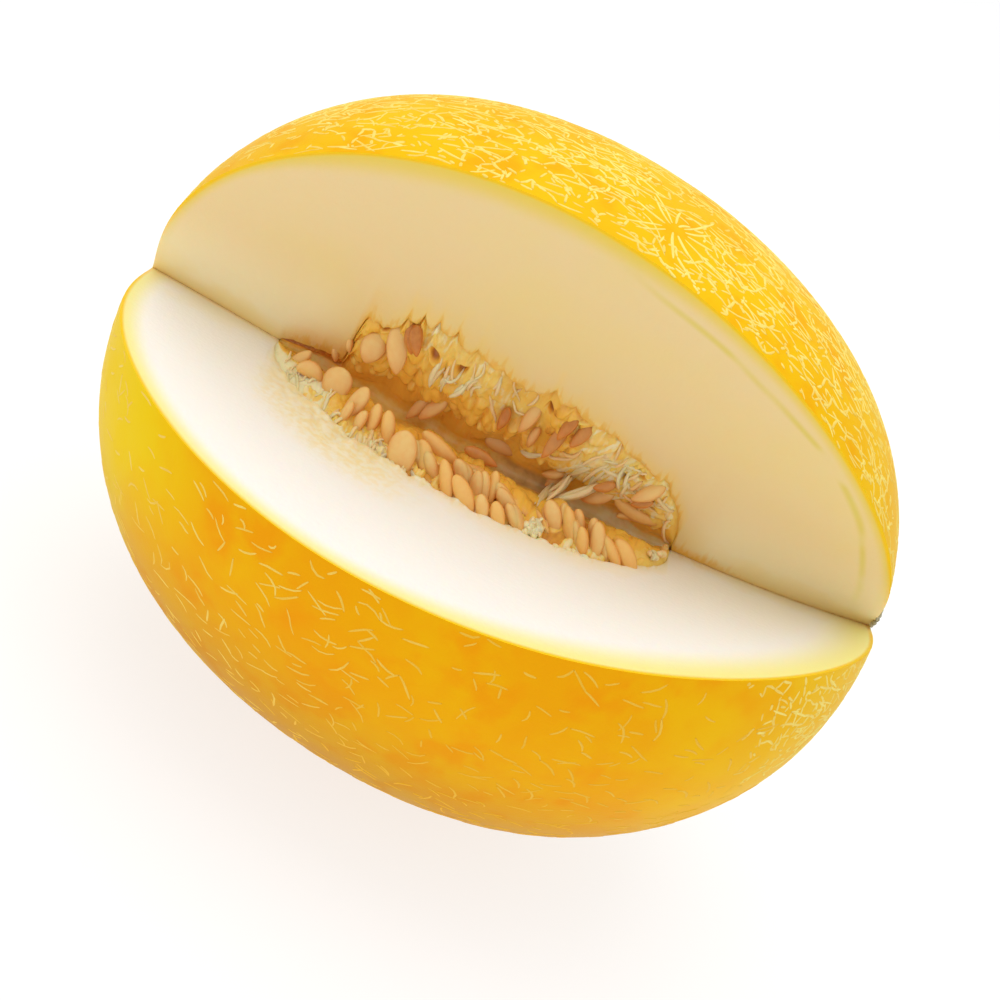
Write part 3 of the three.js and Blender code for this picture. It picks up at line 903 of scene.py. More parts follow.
def strewn_drops(kinds, rng):
    """One row for each drop: upper or not, along, inward, length, width, height, heading, tone."""
    rows = []
    for upper, along, inward, count, *sizes, heading, tone in kinds:
        columns = [np.full(count, upper), rng.uniform(*along, count), rng.uniform(*inward, count)]
        columns += [rng.uniform(*size, count) for size in sizes]
        columns += [np.radians(rng.normal(*heading, count)), rng.uniform(*tone, count)]
        rows.append(np.stack(columns, axis=-1))
    return np.concatenate(rows)


DROPS = strewn_drops(DROP_KINDS, np.random.default_rng(RANDOM_SEED + 2))
print(len(DROPS), "drops, the first one:", DROPS[0].round(2))


def drop_height(along, inward, drop):
    """Half an egg that stands on the bank, higher towards its round end, and 0 all round it."""
    near, start, length, width, height, heading = drop
    down = (along - near) * np.sin(heading) + (inward - start) * np.cos(heading)
    aside = (along - near) * np.cos(heading) - (inward - start) * np.sin(heading)
    share = np.clip(down / length, 0, 1)
    girth = egg_profile(share, DROP_POINT, DROP_ROUND)
    round_side = np.sqrt(np.maximum(girth**2 - (2 * aside / width) ** 2, 0))
    return height * lerp(DROP_START, 1, share) * round_side


# %% Tone of the ground between the drops
# upper bank or lower, range along the chord, range inward, and tone of the ground there
GROUND_PATCHES = [
    (True, -30, 1, -9, 11, 0.58),
    (True, 13, 47, -9, 16, 0.62),
    (True, -42, -34, -5, 6, 0.2),
    (True, 6, 17, -5, 12, 0.25),
    (True, -6, 7, -5, 15, 0.6),
    (True, -70, -47, -9, 30, 0.12),
    (False, -70, -44, -9, 12, 1.0),
    (False, -44, -22, -9, 5, 0.9),
    # the lower bank's dark ground between its drops and seeds: partly the pulp's own brown, partly
    # painted shade
    (False, -22, 36, -9, 16, 0.16),
    (False, 38, 52, -9, 22, 0.72),
]
GROUND_TONE = 0.42
GROUND_WANDER = 0.06  # how far the tone goes up and down
GROUND_SCALE = 5.0  # over how many fibres it does so
BANKS_APART = 40  # keeps the two banks' fibres from being the same
DROP_EDGE = 0.35  # over this height a drop's tone takes the place of the ground's
HOLE_EDGE = (1.3, 0.4)  # where a hole starts and is full, as shares of its radius
HOLE_SHADE = 0.9  # how much darker its tone is, as painted shade in the hole
TAN_POCKET = (-6, 7, -5, 15)  # a seed pocket's range along the chord and inward
POCKET_DEPTH = 1.8
PATCH_EDGE = 3.0


def within(along, inward, patch):
    """1 inside a patch of the bank, fading to 0 over its soft edges."""
    inside = 1.0
    for value, low, high in ((along, *patch[:2]), (inward, *patch[2:])):
        inside = inside * smooth(value, low - PATCH_EDGE, low + PATCH_EDGE)
        inside = inside * smooth(-value, -high - PATCH_EDGE, PATCH_EDGE - high)
    return inside


def bank_relief(place, share, upper):
    """The height over the plain bank and the tone."""
    along, inward = np.broadcast_arrays(place * HALF_CHORD, share * HOLLOW_RADIUS)
    apart = 0 * along + BANKS_APART * upper
    spot = np.stack([along / FIBRE_WIDTH, inward / FIBRE_LENGTH, apart], axis=-1)
    fibre = 1 - abs(noise(spot, 1.0, seed=5))
    height = 0 * along
    tone = GROUND_TONE + GROUND_WANDER * noise(spot, GROUND_SCALE, seed=12)
    for side, *patch, ground in GROUND_PATCHES:
        tone = lerp(tone, ground, within(along, inward, patch) * (side == upper))
    for drop in DROPS[DROPS[:, 0] == upper]:
        risen = drop_height(along, inward, drop[1:7])
        tone = lerp(tone, drop[7], smooth(risen - height, 0.0, DROP_EDGE))
        height = np.maximum(height, risen)
    pocket = upper * within(along, inward, TAN_POCKET)
    height = height * (1 - pocket) - POCKET_DEPTH * pocket
    if upper:
        for near, deep, radius, depth in PULP_HOLES:
            start, full = -radius * np.array(HOLE_EDGE)
            hole = smooth(-np.hypot(along - near, inward - deep), start, full)
            # painted shade: each hole's tone darkened towards its middle
            height, tone = height - depth * hole, tone * (1 - HOLE_SHADE * hole)
    # painted light and shade: each fibre's crest paler and its foot darker
    return height + FIBRE_HEIGHT * fibre, np.clip(tone + FIBRE_LIGHT_AND_SHADE * (fibre - 0.5), 0, 1)


relief, tone = bank_relief(np.array([0.0]), np.array([0.5]), True)
print("half way across the upper bank: height", relief.round(2), "tone", tone.round(2))

# %% Banks of the bed
BED_MARGIN = -0.2  # the bed reaches this far into the hollow's wall, so that no gap shows
BED_RECESS = {False: 1.9, True: 1.8}  # how far behind the cut face a bank starts
BLOSSOM_RECESS = 3.0  # the upper bank's recess at the blossom end, where its lip dips
BLOSSOM_CREST = 0.5  # and its swell there
BED_CREST = {False: 4.8, True: 1.5}  # how far the lower and the upper bank swell out again
BED_RIPPLE = 0.9
RIPPLE_ALONG = 38
RIPPLE_ROUND = 7
RIPPLE_UPPER_SHIFT = 2
CLEFT_DEPTH = 1.0
# places along the chord, and half the cleft's width there
CLEFT_PLACES = [-65, -46, -40, -31, -22, -5, 2, 8, 12, 16, 21, 26, 38, 46, 50]
CLEFT_WIDTHS = [0.5, 1.0, 1.3, 3.4, 1.9, 2.2, 3.4, 4.6, 3.6, 1.3, 2.6, 3.4, 3.0, 2.0, 0.5]
CLEFT_WANDER = 0.25  # how much its edges wander besides, as a share of its width
CLEFT_SCALE = 5  # and over which length
LIP_SHARE = {False: 0.01, True: 0.985}  # where on the torn wall a bank's edge lies
RELIEF_START = (-0.02, 0.06)  # the drops rise over this share of the way from the lip


def cleft_width(place):
    """Half the cleft's width: a slit in some places and a pocket in others."""
    spot = np.stack([place * HALF_CHORD, 0 * place, 0 * place], axis=-1)
    width = np.interp(place * HALF_CHORD, CLEFT_PLACES, CLEFT_WIDTHS)
    return width * (1 + CLEFT_WANDER * noise(spot, CLEFT_SCALE, seed=8))


def bed_size(place):
    """The bed's size at a place, as a share of its largest."""
    return hollow_radius(place, BED_MARGIN) / HOLLOW_RADIUS


def bank_point(place, share, upper, lift=0.0):
    """A point on a bank, from its lip (share 0) to the cleft (share 1): the face's point, less
    the recess, plus an arch, a ripple, the relief and a lift in mm."""
    apex, rim, way, angle = cut_face(place, upper)
    outward = across(angle + np.pi / 2 if upper else angle - np.pi / 2)
    start = torn_radius(place, np.full_like(place, LIP_SHARE[upper])) - BED_MARGIN
    distance = lerp(start, np.minimum(cleft_width(place), start), share)
    wave = RIPPLE_ALONG * place + RIPPLE_ROUND * share + RIPPLE_UPPER_SHIFT * upper
    soft = upper * shut(place)
    recess = lerp(BED_RECESS[upper], BLOSSOM_RECESS, soft)
    crest = lerp(BED_CREST[upper], BLOSSOM_CREST, soft)
    height = crest * np.sin(np.pi * share) - recess - BED_RIPPLE * np.sin(wave) * share
    height = height + bank_relief(place, share, upper)[0] * smooth(share, *RELIEF_START)
    height = height * bed_size(place) + lift
    return apex + way * distance[..., None] + outward * height[..., None]


print("half the cleft's width at three places:", cleft_width(np.array([-0.5, 0.0, 0.3])).round(1))

# %% Build the bed
BED_STATIONS = 360
BACK_COLUMNS = 14
BACK_SHARES = (0.03, 0.97)  # the bed's back goes round the hollow's wall from one to the other
BANK_COLUMNS = 100
CLEFT_COLUMNS = 14
CLEFT_TONE = 0.4
BED_END_GAP = 0.4  # how far inside the hollow's ends the bed's first and last sections are


def cleft_curve(place, from_bank, to_bank):
    """A curve between the banks through the cleft's floor, as a parabola with three points."""
    inward = way_through_flesh(place, 0.5 + 0 * place)
    floor = inner_line(place) + inward * (CLEFT_DEPTH * bed_size(place))[..., None]
    control = 2 * floor - (from_bank + to_bank) / 2
    share = (np.arange(1, CLEFT_COLUMNS) / CLEFT_COLUMNS)[:, None]
    ends = from_bank[:, None] * (1 - share) ** 2 + to_bank[:, None] * share**2
    return ends + control[:, None] * 2 * share * (1 - share)


def bed_tip(side):
    """The hollow's end on the stem side (1) or the blossom side (-1)."""
    return inner_line(np.array((HOLLOW_MIDDLE + side * HOLLOW_HALF_LENGTH) / HALF_CHORD))


def build_bed():
    """The loft through sections that run round the hollow's wall and back over both banks."""
    reach = HOLLOW_HALF_LENGTH - BED_END_GAP
    place = np.linspace(HOLLOW_MIDDLE + reach, HOLLOW_MIDDLE - reach, BED_STATIONS) / HALF_CHORD
    back_share = np.linspace(*BACK_SHARES, BACK_COLUMNS)
    radius = hollow_radius(place, BED_MARGIN)[:, None]
    way = way_through_flesh(place[:, None] + 0 * back_share, back_share)
    back = inner_line(place)[:, None] + way * radius[..., None]
    share = np.linspace(0, 1, BANK_COLUMNS) + 0 * place[:, None]
    rows = place[:, None] + 0 * share
    upper = bank_point(rows, share, True)
    lower = bank_point(rows, share, False)[:, ::-1]
    cleft = cleft_curve(place, upper[:, -1], lower[:, 0])
    loops = np.concatenate([back, upper, cleft, lower], axis=1)
    upper_tone = bank_relief(rows, share, True)[1]
    lower_tone = bank_relief(rows, share, False)[1][:, ::-1]
    dip = np.sin(np.pi * np.arange(1, CLEFT_COLUMNS) / CLEFT_COLUMNS) + 0 * place[:, None]
    no_back = 0 * back[..., 0]
    tone = np.concatenate([no_back, upper_tone, CLEFT_TONE + 0 * dip, lower_tone], axis=1)
    grey = np.concatenate([no_back, 0 * share, dip, 0 * share], axis=1)
    points, quads, triangles = loft(loops, bed_tip(1), bed_tip(-1))
    along = (points - CHORD_MIDDLE) @ ALONG
    bed = make_piece("pulp_bed", points, quads, triangles, "seeds_and_pulp",
                     tone=with_tips(tone), grey=with_tips(grey), along=along)
    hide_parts("seed_bed")
    return bed


pulp_bed = build_bed()

# %% [markdown]
# ## Seeds
#
# The seeds stand in rows along both banks, most of them on edge, like the teeth of a comb. Those
# that show best are placed where the picture has them: a pixel is looked up on the bed that the
# camera sees there, so the seed still sits on the pulp from every side. The rest come in rows
# between two pixels. Every seed is a strand of oval rings, pointed at one end and round at the
# other.

# %% Find the bed behind a pixel
LOOKUP_STATIONS = 150
LOOKUP_COLUMNS = 40
NEAREST_FIRST = 0.15  # how much a point nearer to the eye is preferred, in pixels for each mm


def bed_lookup():
    """Many points of both banks, where each falls in the picture and how far it is from the eye."""
    reach = HOLLOW_HALF_LENGTH - 2
    along = np.linspace(HOLLOW_MIDDLE - reach, HOLLOW_MIDDLE + reach, LOOKUP_STATIONS)
    place = along[:, None] / HALF_CHORD
    share = np.linspace(0, 1, LOOKUP_COLUMNS) + 0 * place
    banks = [bank_point(place + 0 * share, share, upper) for upper in (False, True)]
    points = np.reshape(banks, (-1, 3))
    return points, pixels_of(points), np.linalg.norm(points - EYE, axis=1)


BED_POINTS, BED_PIXELS, BED_DEPTHS = bed_lookup()


def on_bed(pixels):
    """The bed's points behind some pixels: close by in the picture and nearest to the eye."""
    gap = np.linalg.norm(BED_PIXELS - pixels[:, None], axis=-1)
    return BED_POINTS[np.argmin(gap + NEAREST_FIRST * BED_DEPTHS, axis=1)]


print("behind pixel 400, 450 is", on_bed(np.array([[400, 450]])).round(1))

# %% Oval shapes at pixels
OVAL_RINGS = 15
OVAL_OUTLINE = round_outline(18)
OVAL_POINT = 0.7  # powers that shape the pointed and the round end
OVAL_ROUND = 0.5
OVAL_FLATNESS = 0.8  # below 1 keeps an oval's thickness up towards its ends
OVAL_MIDDLE = 0.52  # share of its length that lies below the pixel
EDGE_TINT = 0.9  # how strongly the thin edge is tinted, and how narrow the tint is
EDGE_THINNESS = 5
END_THINNESS = 3  # how narrow the pointed end's tint is
TILT_TO_EYE = 0.15
PROUD_OF_BED = 1.7  # how far an oval's middle stands off the bed, in mm


def ovals(spec, thickness):
    """Ovals from rows of numbers: pixel right and down, length and width in mm, lean to the left
    and roll in degrees, sideways bend in mm, and tone. With no roll the flat side faces the viewer.
    An oval is an egg's profile swept along an arch."""
    pixels, (length, width, lean, roll, bend, tone) = spec[:, :2], spec[:, 2:].T[..., None]
    lean, roll = np.radians(lean), np.radians(roll)
    upright = np.cos(lean) * PICTURE_UP - np.sin(lean) * PICTURE_RIGHT
    heading = unit(upright + TILT_TO_EYE * TOWARDS_EYE)
    flat = unit(np.cross(heading, TOWARDS_EYE))
    side = np.cos(roll) * flat + np.sin(roll) * np.cross(heading, -flat)
    up = np.cross(heading, side)
    share = (1 - np.cos(np.linspace(0, np.pi, OVAL_RINGS + 2))) / 2
    arch = bend * (1 - (2 * share - 1) ** 2)
    centre = on_bed(pixels) + PROUD_OF_BED * TOWARDS_EYE
    centres = centre[:, None] + heading[:, None] * (length * (share - OVAL_MIDDLE))[..., None]
    centres = centres + flat[:, None] * arch[..., None]
    profile = egg_profile(share, OVAL_POINT, OVAL_ROUND)
    half_width = width / 2 * profile
    half_height = np.broadcast_to(thickness / 2 * profile**OVAL_FLATNESS, half_width.shape)
    shape = sweep(centres, side[:, None], up[:, None], half_width, half_height, OVAL_OUTLINE)
    tones = strand_values(tone + 0 * share, len(OVAL_OUTLINE))
    tint = strand_values((1 - share) ** END_THINNESS + 0 * tone, len(OVAL_OUTLINE))
    rim = np.tile(EDGE_TINT * abs(OVAL_OUTLINE[:, 0]) ** EDGE_THINNESS, len(spec) * OVAL_RINGS)
    tint[: len(rim)] = np.maximum(tint[: len(rim)], rim)
    return *shape, np.stack([tones, tint], axis=-1)


one_oval = ovals(np.array([[400, 450, 10, 4, 0, 0, 0, 0.5]]), 2.0)
print("an oval has", len(one_oval[0]), "points")

# %% Seeds that show best
SEED_THICKNESS = 2.4
# pixel right and down, length, width, lean, roll, bend, tone
FRONT_SEEDS = [
    [299, 357, 7.6, 3.2, -68, 15, 0.4, 0.6],
    [310, 374, 7.6, 4.6, 58, 20, 1.0, 0.6],
    [336, 384, 9.4, 7.6, -24, 0, 0.0, 0.7],
    [357, 404, 10.4, 4.8, -42, 20, 0.3, 0.7],
    [374, 420, 8.4, 3.6, -24, 30, 0.2, 0.8],
    [389, 430, 9.4, 3.8, -4, 25, 0.0, 0.8],
    [402, 454, 12.6, 7.4, -12, 0, 0.0, 0.65],
    [425, 459, 10.4, 4.8, 6, 15, 0.2, 0.9],
    [441, 447, 12.2, 4.2, 47, 15, -0.3, 0.9],
    [446, 485, 12.4, 3.8, 2, 25, 0.3, 0.9],
    [463, 497, 11.8, 4.6, 20, 15, 0.3, 0.9],
    [490, 491, 10.6, 3.4, -18, 25, 0.3, 1.0],
    [497, 519, 8.6, 3.8, 8, 20, 0.0, 0.9],
    [551, 517, 9.2, 4.4, 10, 10, 0.2, 0.6],
    [567, 528, 11.4, 4.0, 2, 40, 0.4, 0.9],
    [577, 536, 9.2, 2.8, 8, 50, 0.2, 0.6],
    [582, 543, 9.0, 3.4, -2, 35, 0.2, 0.9],
    [594, 541, 10.2, 4.0, -8, 20, 0.3, 0.7],
    [603, 546, 8.4, 2.8, 8, 50, 0.2, 0.5],
    [611, 553, 10.4, 3.4, 24, 35, 0.3, 1.0],
    [626, 557, 10.4, 4.4, 26, 10, 0.3, 1.0],
]
BACK_SEEDS = [
    [373, 349, 8.2, 6.6, -30, 0, 0.0, 0.45],
    [398, 349, 12.2, 5.6, -3, 0, 0.0, 0.45],
    [420, 405, 9.6, 3.4, -48, 20, 0.3, 0.5],
    [434, 406, 10.4, 4.2, -52, 20, 0.3, 0.45],
    [482, 455, 9.6, 3.4, 60, 20, 0.3, 0.15],
    [499, 448, 8.6, 4.2, 60, 10, 0.3, 0.3],
    [530, 418, 9.2, 3.6, -38, 10, 0.2, 0.35],
    [556, 441, 10.8, 3.6, -38, 10, 0.2, 0.15],
    [599, 495, 9.4, 4.4, -74, 15, 0.4, 0.4],
    [636, 511, 13.6, 3.8, 60, 30, -0.8, 0.8],
    [638, 524, 13.2, 3.6, 70, -20, 2.0, 0.9],
    [647, 493, 9.4, 4.0, -68, 20, 0.3, 0.5],
]
print(len(FRONT_SEEDS), "seeds on the lower bank and", len(BACK_SEEDS), "on the upper one")

# %% Rows of seeds
BEND_SPREAD = 0.4
ROW_SEED = np.array([9.6, 4.2])  # length and width
ROW_ROLL = 25
ROW_SPREAD = (1, (0.92, 1.08), (6, 12), 0.08)  # how far pixels, sizes, turns and tones vary
# first and last pixel, how many, mean lean, mean tone and size
SEED_ROWS = [
    [(474, 484), (486, 492), 2, -4, 0.6, 1.0],
    [(503, 492), (510, 506), 2, 34, 0.7, 0.9],
    [(459, 474), (471, 478), 2, 12, 0.6, 0.9],
    [(512, 514), (520, 522), 2, 10, 0.6, 0.8],
    [(342, 412), (366, 424), 2, -36, 0.6, 0.7],
    [(412, 446), (436, 470), 2, 10, 0.6, 0.8],
    [(478, 508), (482, 510), 1, 14, 0.7, 0.8],
    [(558, 512), (602, 536), 3, 4, 0.5, 0.8],
    [(338, 346), (350, 345), 2, -10, 0.6, 0.45],
    [(411, 339), (420, 342), 2, -5, 0.0, 0.85],
    [(504, 419), (505, 420), 1, -30, 0.05, 0.7],
    [(532, 434), (534, 436), 1, -38, 0.25, 0.65],
    [(562, 430), (590, 437), 2, -44, 0.05, 0.8],
    [(552, 468), (552, 490), 2, -80, 0.6, 0.65],
    [(586, 476), (660, 512), 2, -84, 0.15, 0.65],
]


def shaken_ovals(pixels, size, turn, tone, spread, rng):
    """Rows for ovals at some pixels, whose values vary round one size, turn and tone."""
    pixel_spread, size_range, turn_spread, tone_spread = spread
    pair, single = (len(pixels), 2), (len(pixels), 1)
    pixels = pixels + rng.normal(0, pixel_spread, pair)
    sizes = size * rng.uniform(*size_range, pair)
    turns = turn + rng.normal(0, turn_spread, pair)
    bend = rng.uniform(-BEND_SPREAD, BEND_SPREAD, single)
    tones = np.clip(tone + rng.normal(0, tone_spread, single), 0, 1)
    return np.concatenate([pixels, sizes, turns, bend, tones], axis=1)


def row_seeds(rng):
    """Each row's seeds, evenly spaced between its two pixels and then shaken."""
    rows = []
    for first, last, count, lean, tone, size in SEED_ROWS:
        share = (np.arange(count)[:, None] + 0.5) / count
        pixels = lerp(np.array(first), np.array(last), share)
        turn = np.array([lean, ROW_ROLL])
        rows.append(shaken_ovals(pixels, size * ROW_SEED, turn, tone, ROW_SPREAD, rng))
    return np.concatenate(rows)


def build_seeds():
    """The seeds that show best and those in rows, as one piece."""
    rng = np.random.default_rng(RANDOM_SEED + 1)
    spec = np.concatenate([FRONT_SEEDS, BACK_SEEDS, row_seeds(rng)])
    points, quads, triangles, values = ovals(spec, SEED_THICKNESS)
    seeds = make_piece("melon_seeds", points, quads, triangles, "seeds_and_pulp",
                       tone=values[:, 0], end=values[:, 1])
    print(len(spec), "seeds")
    return seeds


melon_seeds = build_seeds()

# %% [markdown]
# ## Strands and tufts of pulp
#
# Threads of pulp tear off the flesh when the fruit is cut. Those that show best run between two
# pixels, like the seeds, and the rest are strewn along the lips. They could be hair, but the
# export drops hair, so each is a swept strand that follows the bank under it.

# %% Strands between two pixels
STRAND_RINGS = 12
STRAND_OUTLINE = round_outline(6)
STRAND_TAPER = 0.4
STRAND_FLATNESS = 0.8
STRAND_SAG = 0.25  # how far a strand's ends stand off the bed, and its middle beyond that
SHOWN_SPREAD = (0.4, 0.08)  # how far the bend and the tone vary
# pixel right and down where a bundle starts and where it ends, strands in it, how far they spread
# in pixels, width in mm, bend in mm and tone
SHOWN_STRANDS = [
    [444, 368, 432, 387, 2, 3, 1.4, 0.6, 0.8],
    [452, 376, 440, 392, 2, 3, 1.2, 0.5, 0.8],
    [464, 385, 449, 397, 2, 2, 1.3, -0.5, 0.8],
    [480, 378, 468, 394, 3, 6, 1.0, 0.6, 0.75],
    [368, 428, 376, 458, 2, 4, 0.8, 0.4, 0.65],
    [381, 437, 380, 474, 2, 4, 1.2, 0.3, 0.75],
    [388, 456, 391, 479, 2, 3, 1.0, -0.4, 0.75],
    [411, 470, 416, 500, 2, 3, 1.2, 0.3, 0.7],
    [427, 480, 431, 502, 2, 3, 1.3, 0.4, 0.75],
    [598, 486, 559, 497, 4, 5, 1.7, -0.8, 0.8],
    [588, 464, 566, 479, 4, 6, 1.7, 0.6, 0.8],
    [506, 497, 519, 523, 4, 8, 2.2, 0.6, 0.25],
    [468, 468, 486, 478, 4, 8, 2.4, 0.5, 0.3],
    [538, 508, 548, 530, 3, 6, 1.6, 0.4, 0.35],
    [600, 536, 606, 552, 3, 6, 1.6, 0.4, 0.3],
    [612, 472, 584, 490, 4, 8, 1.2, 0.5, 0.7],
    [628, 472, 620, 492, 4, 6, 1.1, 0.4, 0.75],
    [640, 476, 606, 462, 5, 7, 0.9, 0.8, 0.8],
    [570, 478, 548, 494, 5, 6, 1.1, -0.6, 0.75],
    [552, 484, 536, 502, 4, 5, 1.1, 0.5, 0.7],
    [521, 450, 543, 455, 2, 2, 1.2, 0.8, 0.65],
    [516, 536, 517, 551, 3, 3, 1.2, 0.3, 0.25],
]


def swept_strands(line, width, tone):
    """Strands along given paths, thin at both ends, with one tone each."""
    heading = unit(np.gradient(line, axis=1))
    side = unit(np.cross(TOWARDS_EYE, heading))
    taper = np.sin(np.pi * np.linspace(0, 1, STRAND_RINGS)) ** STRAND_TAPER
    half = width / 2 * taper
    up = np.cross(heading, side)
    shape = sweep(line, side, up, half, half * STRAND_FLATNESS, STRAND_OUTLINE)
    return *shape, strand_values(np.clip(tone, 0, 1) + 0 * taper, len(STRAND_OUTLINE))


def shown_strands(rng):
    """Strands whose ends lie on the bed behind two pixels: a straight line, plus a sine arch to
    one side and a lower one off the bed."""
    spec = np.array(SHOWN_STRANDS, dtype=float)
    spec = np.repeat(spec, spec[:, 4].astype(int), axis=0)
    spread = spec[:, 5:6] / 2
    start = on_bed(spec[:, :2] + spread * rng.normal(0, 1, (len(spec), 2)))
    end = on_bed(spec[:, 2:4] + spread * rng.normal(0, 1, (len(spec), 2)))
    width, bend, tone = spec[:, 6:].T[..., None]
    bend = bend + rng.normal(0, SHOWN_SPREAD[0], bend.shape)
    tone = tone + rng.normal(0, SHOWN_SPREAD[1], tone.shape)
    share = np.linspace(0, 1, STRAND_RINGS)
    arch = np.sin(np.pi * share)
    aside = unit(np.cross(end - start, TOWARDS_EYE))[:, None] * (bend * arch)[..., None]
    line = lerp(start[:, None], end[:, None], share[:, None]) + aside
    lift = TOWARDS_EYE * (STRAND_SAG * (1 + arch))[:, None]
    return swept_strands(line + lift, width, tone)


print(sum(bundle[4] for bundle in SHOWN_STRANDS), "strands lie where the picture has them")

# %% Strewn strands
# upper bank or lower, range along the chord, range across the bank, how many, lengths, drift along
# the chord for each mm inward, thickness and tone
STRAND_KINDS = [
    (True, (-29, 1), (0.0, 0.35), 14, (4, 8), 0.0, (0.5, 1.0), 0.6),
    (True, (14, 46), (0.0, 0.5), 20, (5, 11), -0.4, (0.7, 1.2), 0.6),
    (False, (-44, -16), (-0.1, 0.04), 26, (3, 6), 0.1, (0.6, 1.1), 0.75),
    (False, (-60, -42), (-0.1, 0.25), 16, (3, 6), 0.2, (0.6, 1.1), 0.85),
]
HEADING_SPREAD = 0.3  # in radians
TURN_SPREAD = 0.4  # how far a strand turns on its way
STRAND_SWAY = 0.3  # how far a strand sways to the sides, in mm, how often and from where
SWAY_LENGTH = (2, 6)
SWAY_START = (0, 6)
NARROW_HOLLOW = 5  # the least radius that a strand's length is set against
STRAND_LIFT = 0.6  # highest lift of a strand's middle off the bank, and the lift of its ends
STRAND_GAP = 0.1
LIFT_RANGE = (0.1, 1.0)
STREWN_TONE_SPREAD = 0.12


def strand_paths(upper, along_range, start_range, count, lengths, drift, rng):
    """Paths on a bank that start near the lip and run inward: straight lines at an angle, plus a
    sine's sway and an arch off the bank."""
    ring = np.linspace(0, 1, STRAND_RINGS)
    length = rng.uniform(*lengths, (count, 1))
    start = rng.uniform(*start_range, (count, 1))
    turn = np.arctan(drift) + rng.normal(0, HEADING_SPREAD, (count, 1))
    turn = turn + rng.normal(0, TURN_SPREAD, (count, 1)) * ring
    sway = rng.uniform(*SWAY_LENGTH, (count, 1)) * ring + rng.uniform(*SWAY_START, (count, 1))
    first = rng.uniform(*along_range, (count, 1))
    place = (first + length * ring * np.sin(turn) + STRAND_SWAY * np.sin(sway)) / HALF_CHORD
    lift = rng.uniform(*LIFT_RANGE, (count, 1)) * np.sin(np.pi * ring)
    across_bank = length * ring * np.cos(turn) / np.maximum(hollow_radius(place), NARROW_HOLLOW)
    share = np.clip(start + across_bank, 0, 1)
    return bank_point(place, share, upper, lift * STRAND_LIFT + STRAND_GAP)


def build_strands():
    """The strands between pixels and the strewn ones, as one piece."""
    rng = np.random.default_rng(RANDOM_SEED + 3)
    shapes = [shown_strands(rng)]
    for *way, widths, tone in STRAND_KINDS:
        line = strand_paths(*way, rng)
        tones = tone + rng.normal(0, STREWN_TONE_SPREAD, (len(line), 1))
        shapes.append(swept_strands(line, rng.uniform(*widths, (len(line), 1)), tones))
    points, quads, triangles, tone = joined(shapes)
    return make_piece("pulp_strands", points, quads, triangles, "seeds_and_pulp", tone=tone)


pulp_strands = build_strands()

# %% Tufts
# pixel right and down, how many lumps, how far they spread in pixels, lump length in mm and tone
TUFTS = [
    (534, 527, 44, 7.5, 1.9, 0.9),
    (556, 551, 2, 1.0, 3.2, 1.0),
    (568, 556, 2, 1.0, 3.0, 1.0),
    (585, 560, 2, 1.0, 3.2, 1.0),
    (654, 557, 9, 6.0, 2.2, 0.75),
    (667, 549, 4, 2.0, 2.2, 0.3),
]
TUFT_THICKNESS = 2.0
LUMP_SHAPE = np.array([1.0, 0.65])  # length and width of a lump
LUMP_SPREAD = ((0.7, 1.2), (40, 30), 0.05)  # how far its size, turns and tone vary


def build_tufts():
    """Each tuft is a handful of small ovals that lie across each other."""
    rng = np.random.default_rng(RANDOM_SEED + 5)
    rows = []
    for right, down, count, spread, length, tone in TUFTS:
        pixels = np.tile([right, down], (count, 1))
        spreads = (spread / 2, *LUMP_SPREAD)
        rows.append(shaken_ovals(pixels, length * LUMP_SHAPE, 0, tone, spreads, rng))
    points, quads, triangles, values = ovals(np.concatenate(rows), TUFT_THICKNESS)
    return make_piece("pulp_tufts", points, quads, triangles, "seeds_and_pulp", tone=values[:, 0])


pulp_tufts = build_tufts()

# %% [markdown]
# ## The stalk's scar
#
# Where the stalk broke off, just above the cut, a small ring of dry grey crumbs is left. It is
# built as a low dome on the skin with crumbs strewn over it.

# %% Stem scar
SCAR_RADIUS = 4.6
SCAR_HEIGHT = 1.04
SCAR_ABOVE_CUT = 5.5
SCAR_CRUMBS = 60
CRUMB_SIZE = (0.8, 2.2)
CRUMB_RINGS = 6
CRUMB_THICKNESS = 0.35  # half of it, as a share of the crumb's length
CRUMB_FLATNESS = 0.9
CRUMB_TAPER = 0.5  # below 1 keeps a crumb thick up towards its ends
CRUMB_END = 0.01
CRUMB_OUTLINE = round_outline(7)


def scar_disc():
    """The scar's centre on the skin, the skin's normal there and two directions along the skin."""
    start = STEM_END + across(np.array(0.0)) * SCAR_ABOVE_CUT
    centre = skin_along(CHORD_MIDDLE, start - CHORD_MIDDLE)
    normal = unit(skin_slope(centre))
    first = unit(np.cross(normal, [0.0, 0.0, 1.0]))
    return centre, normal, first, np.cross(normal, first)


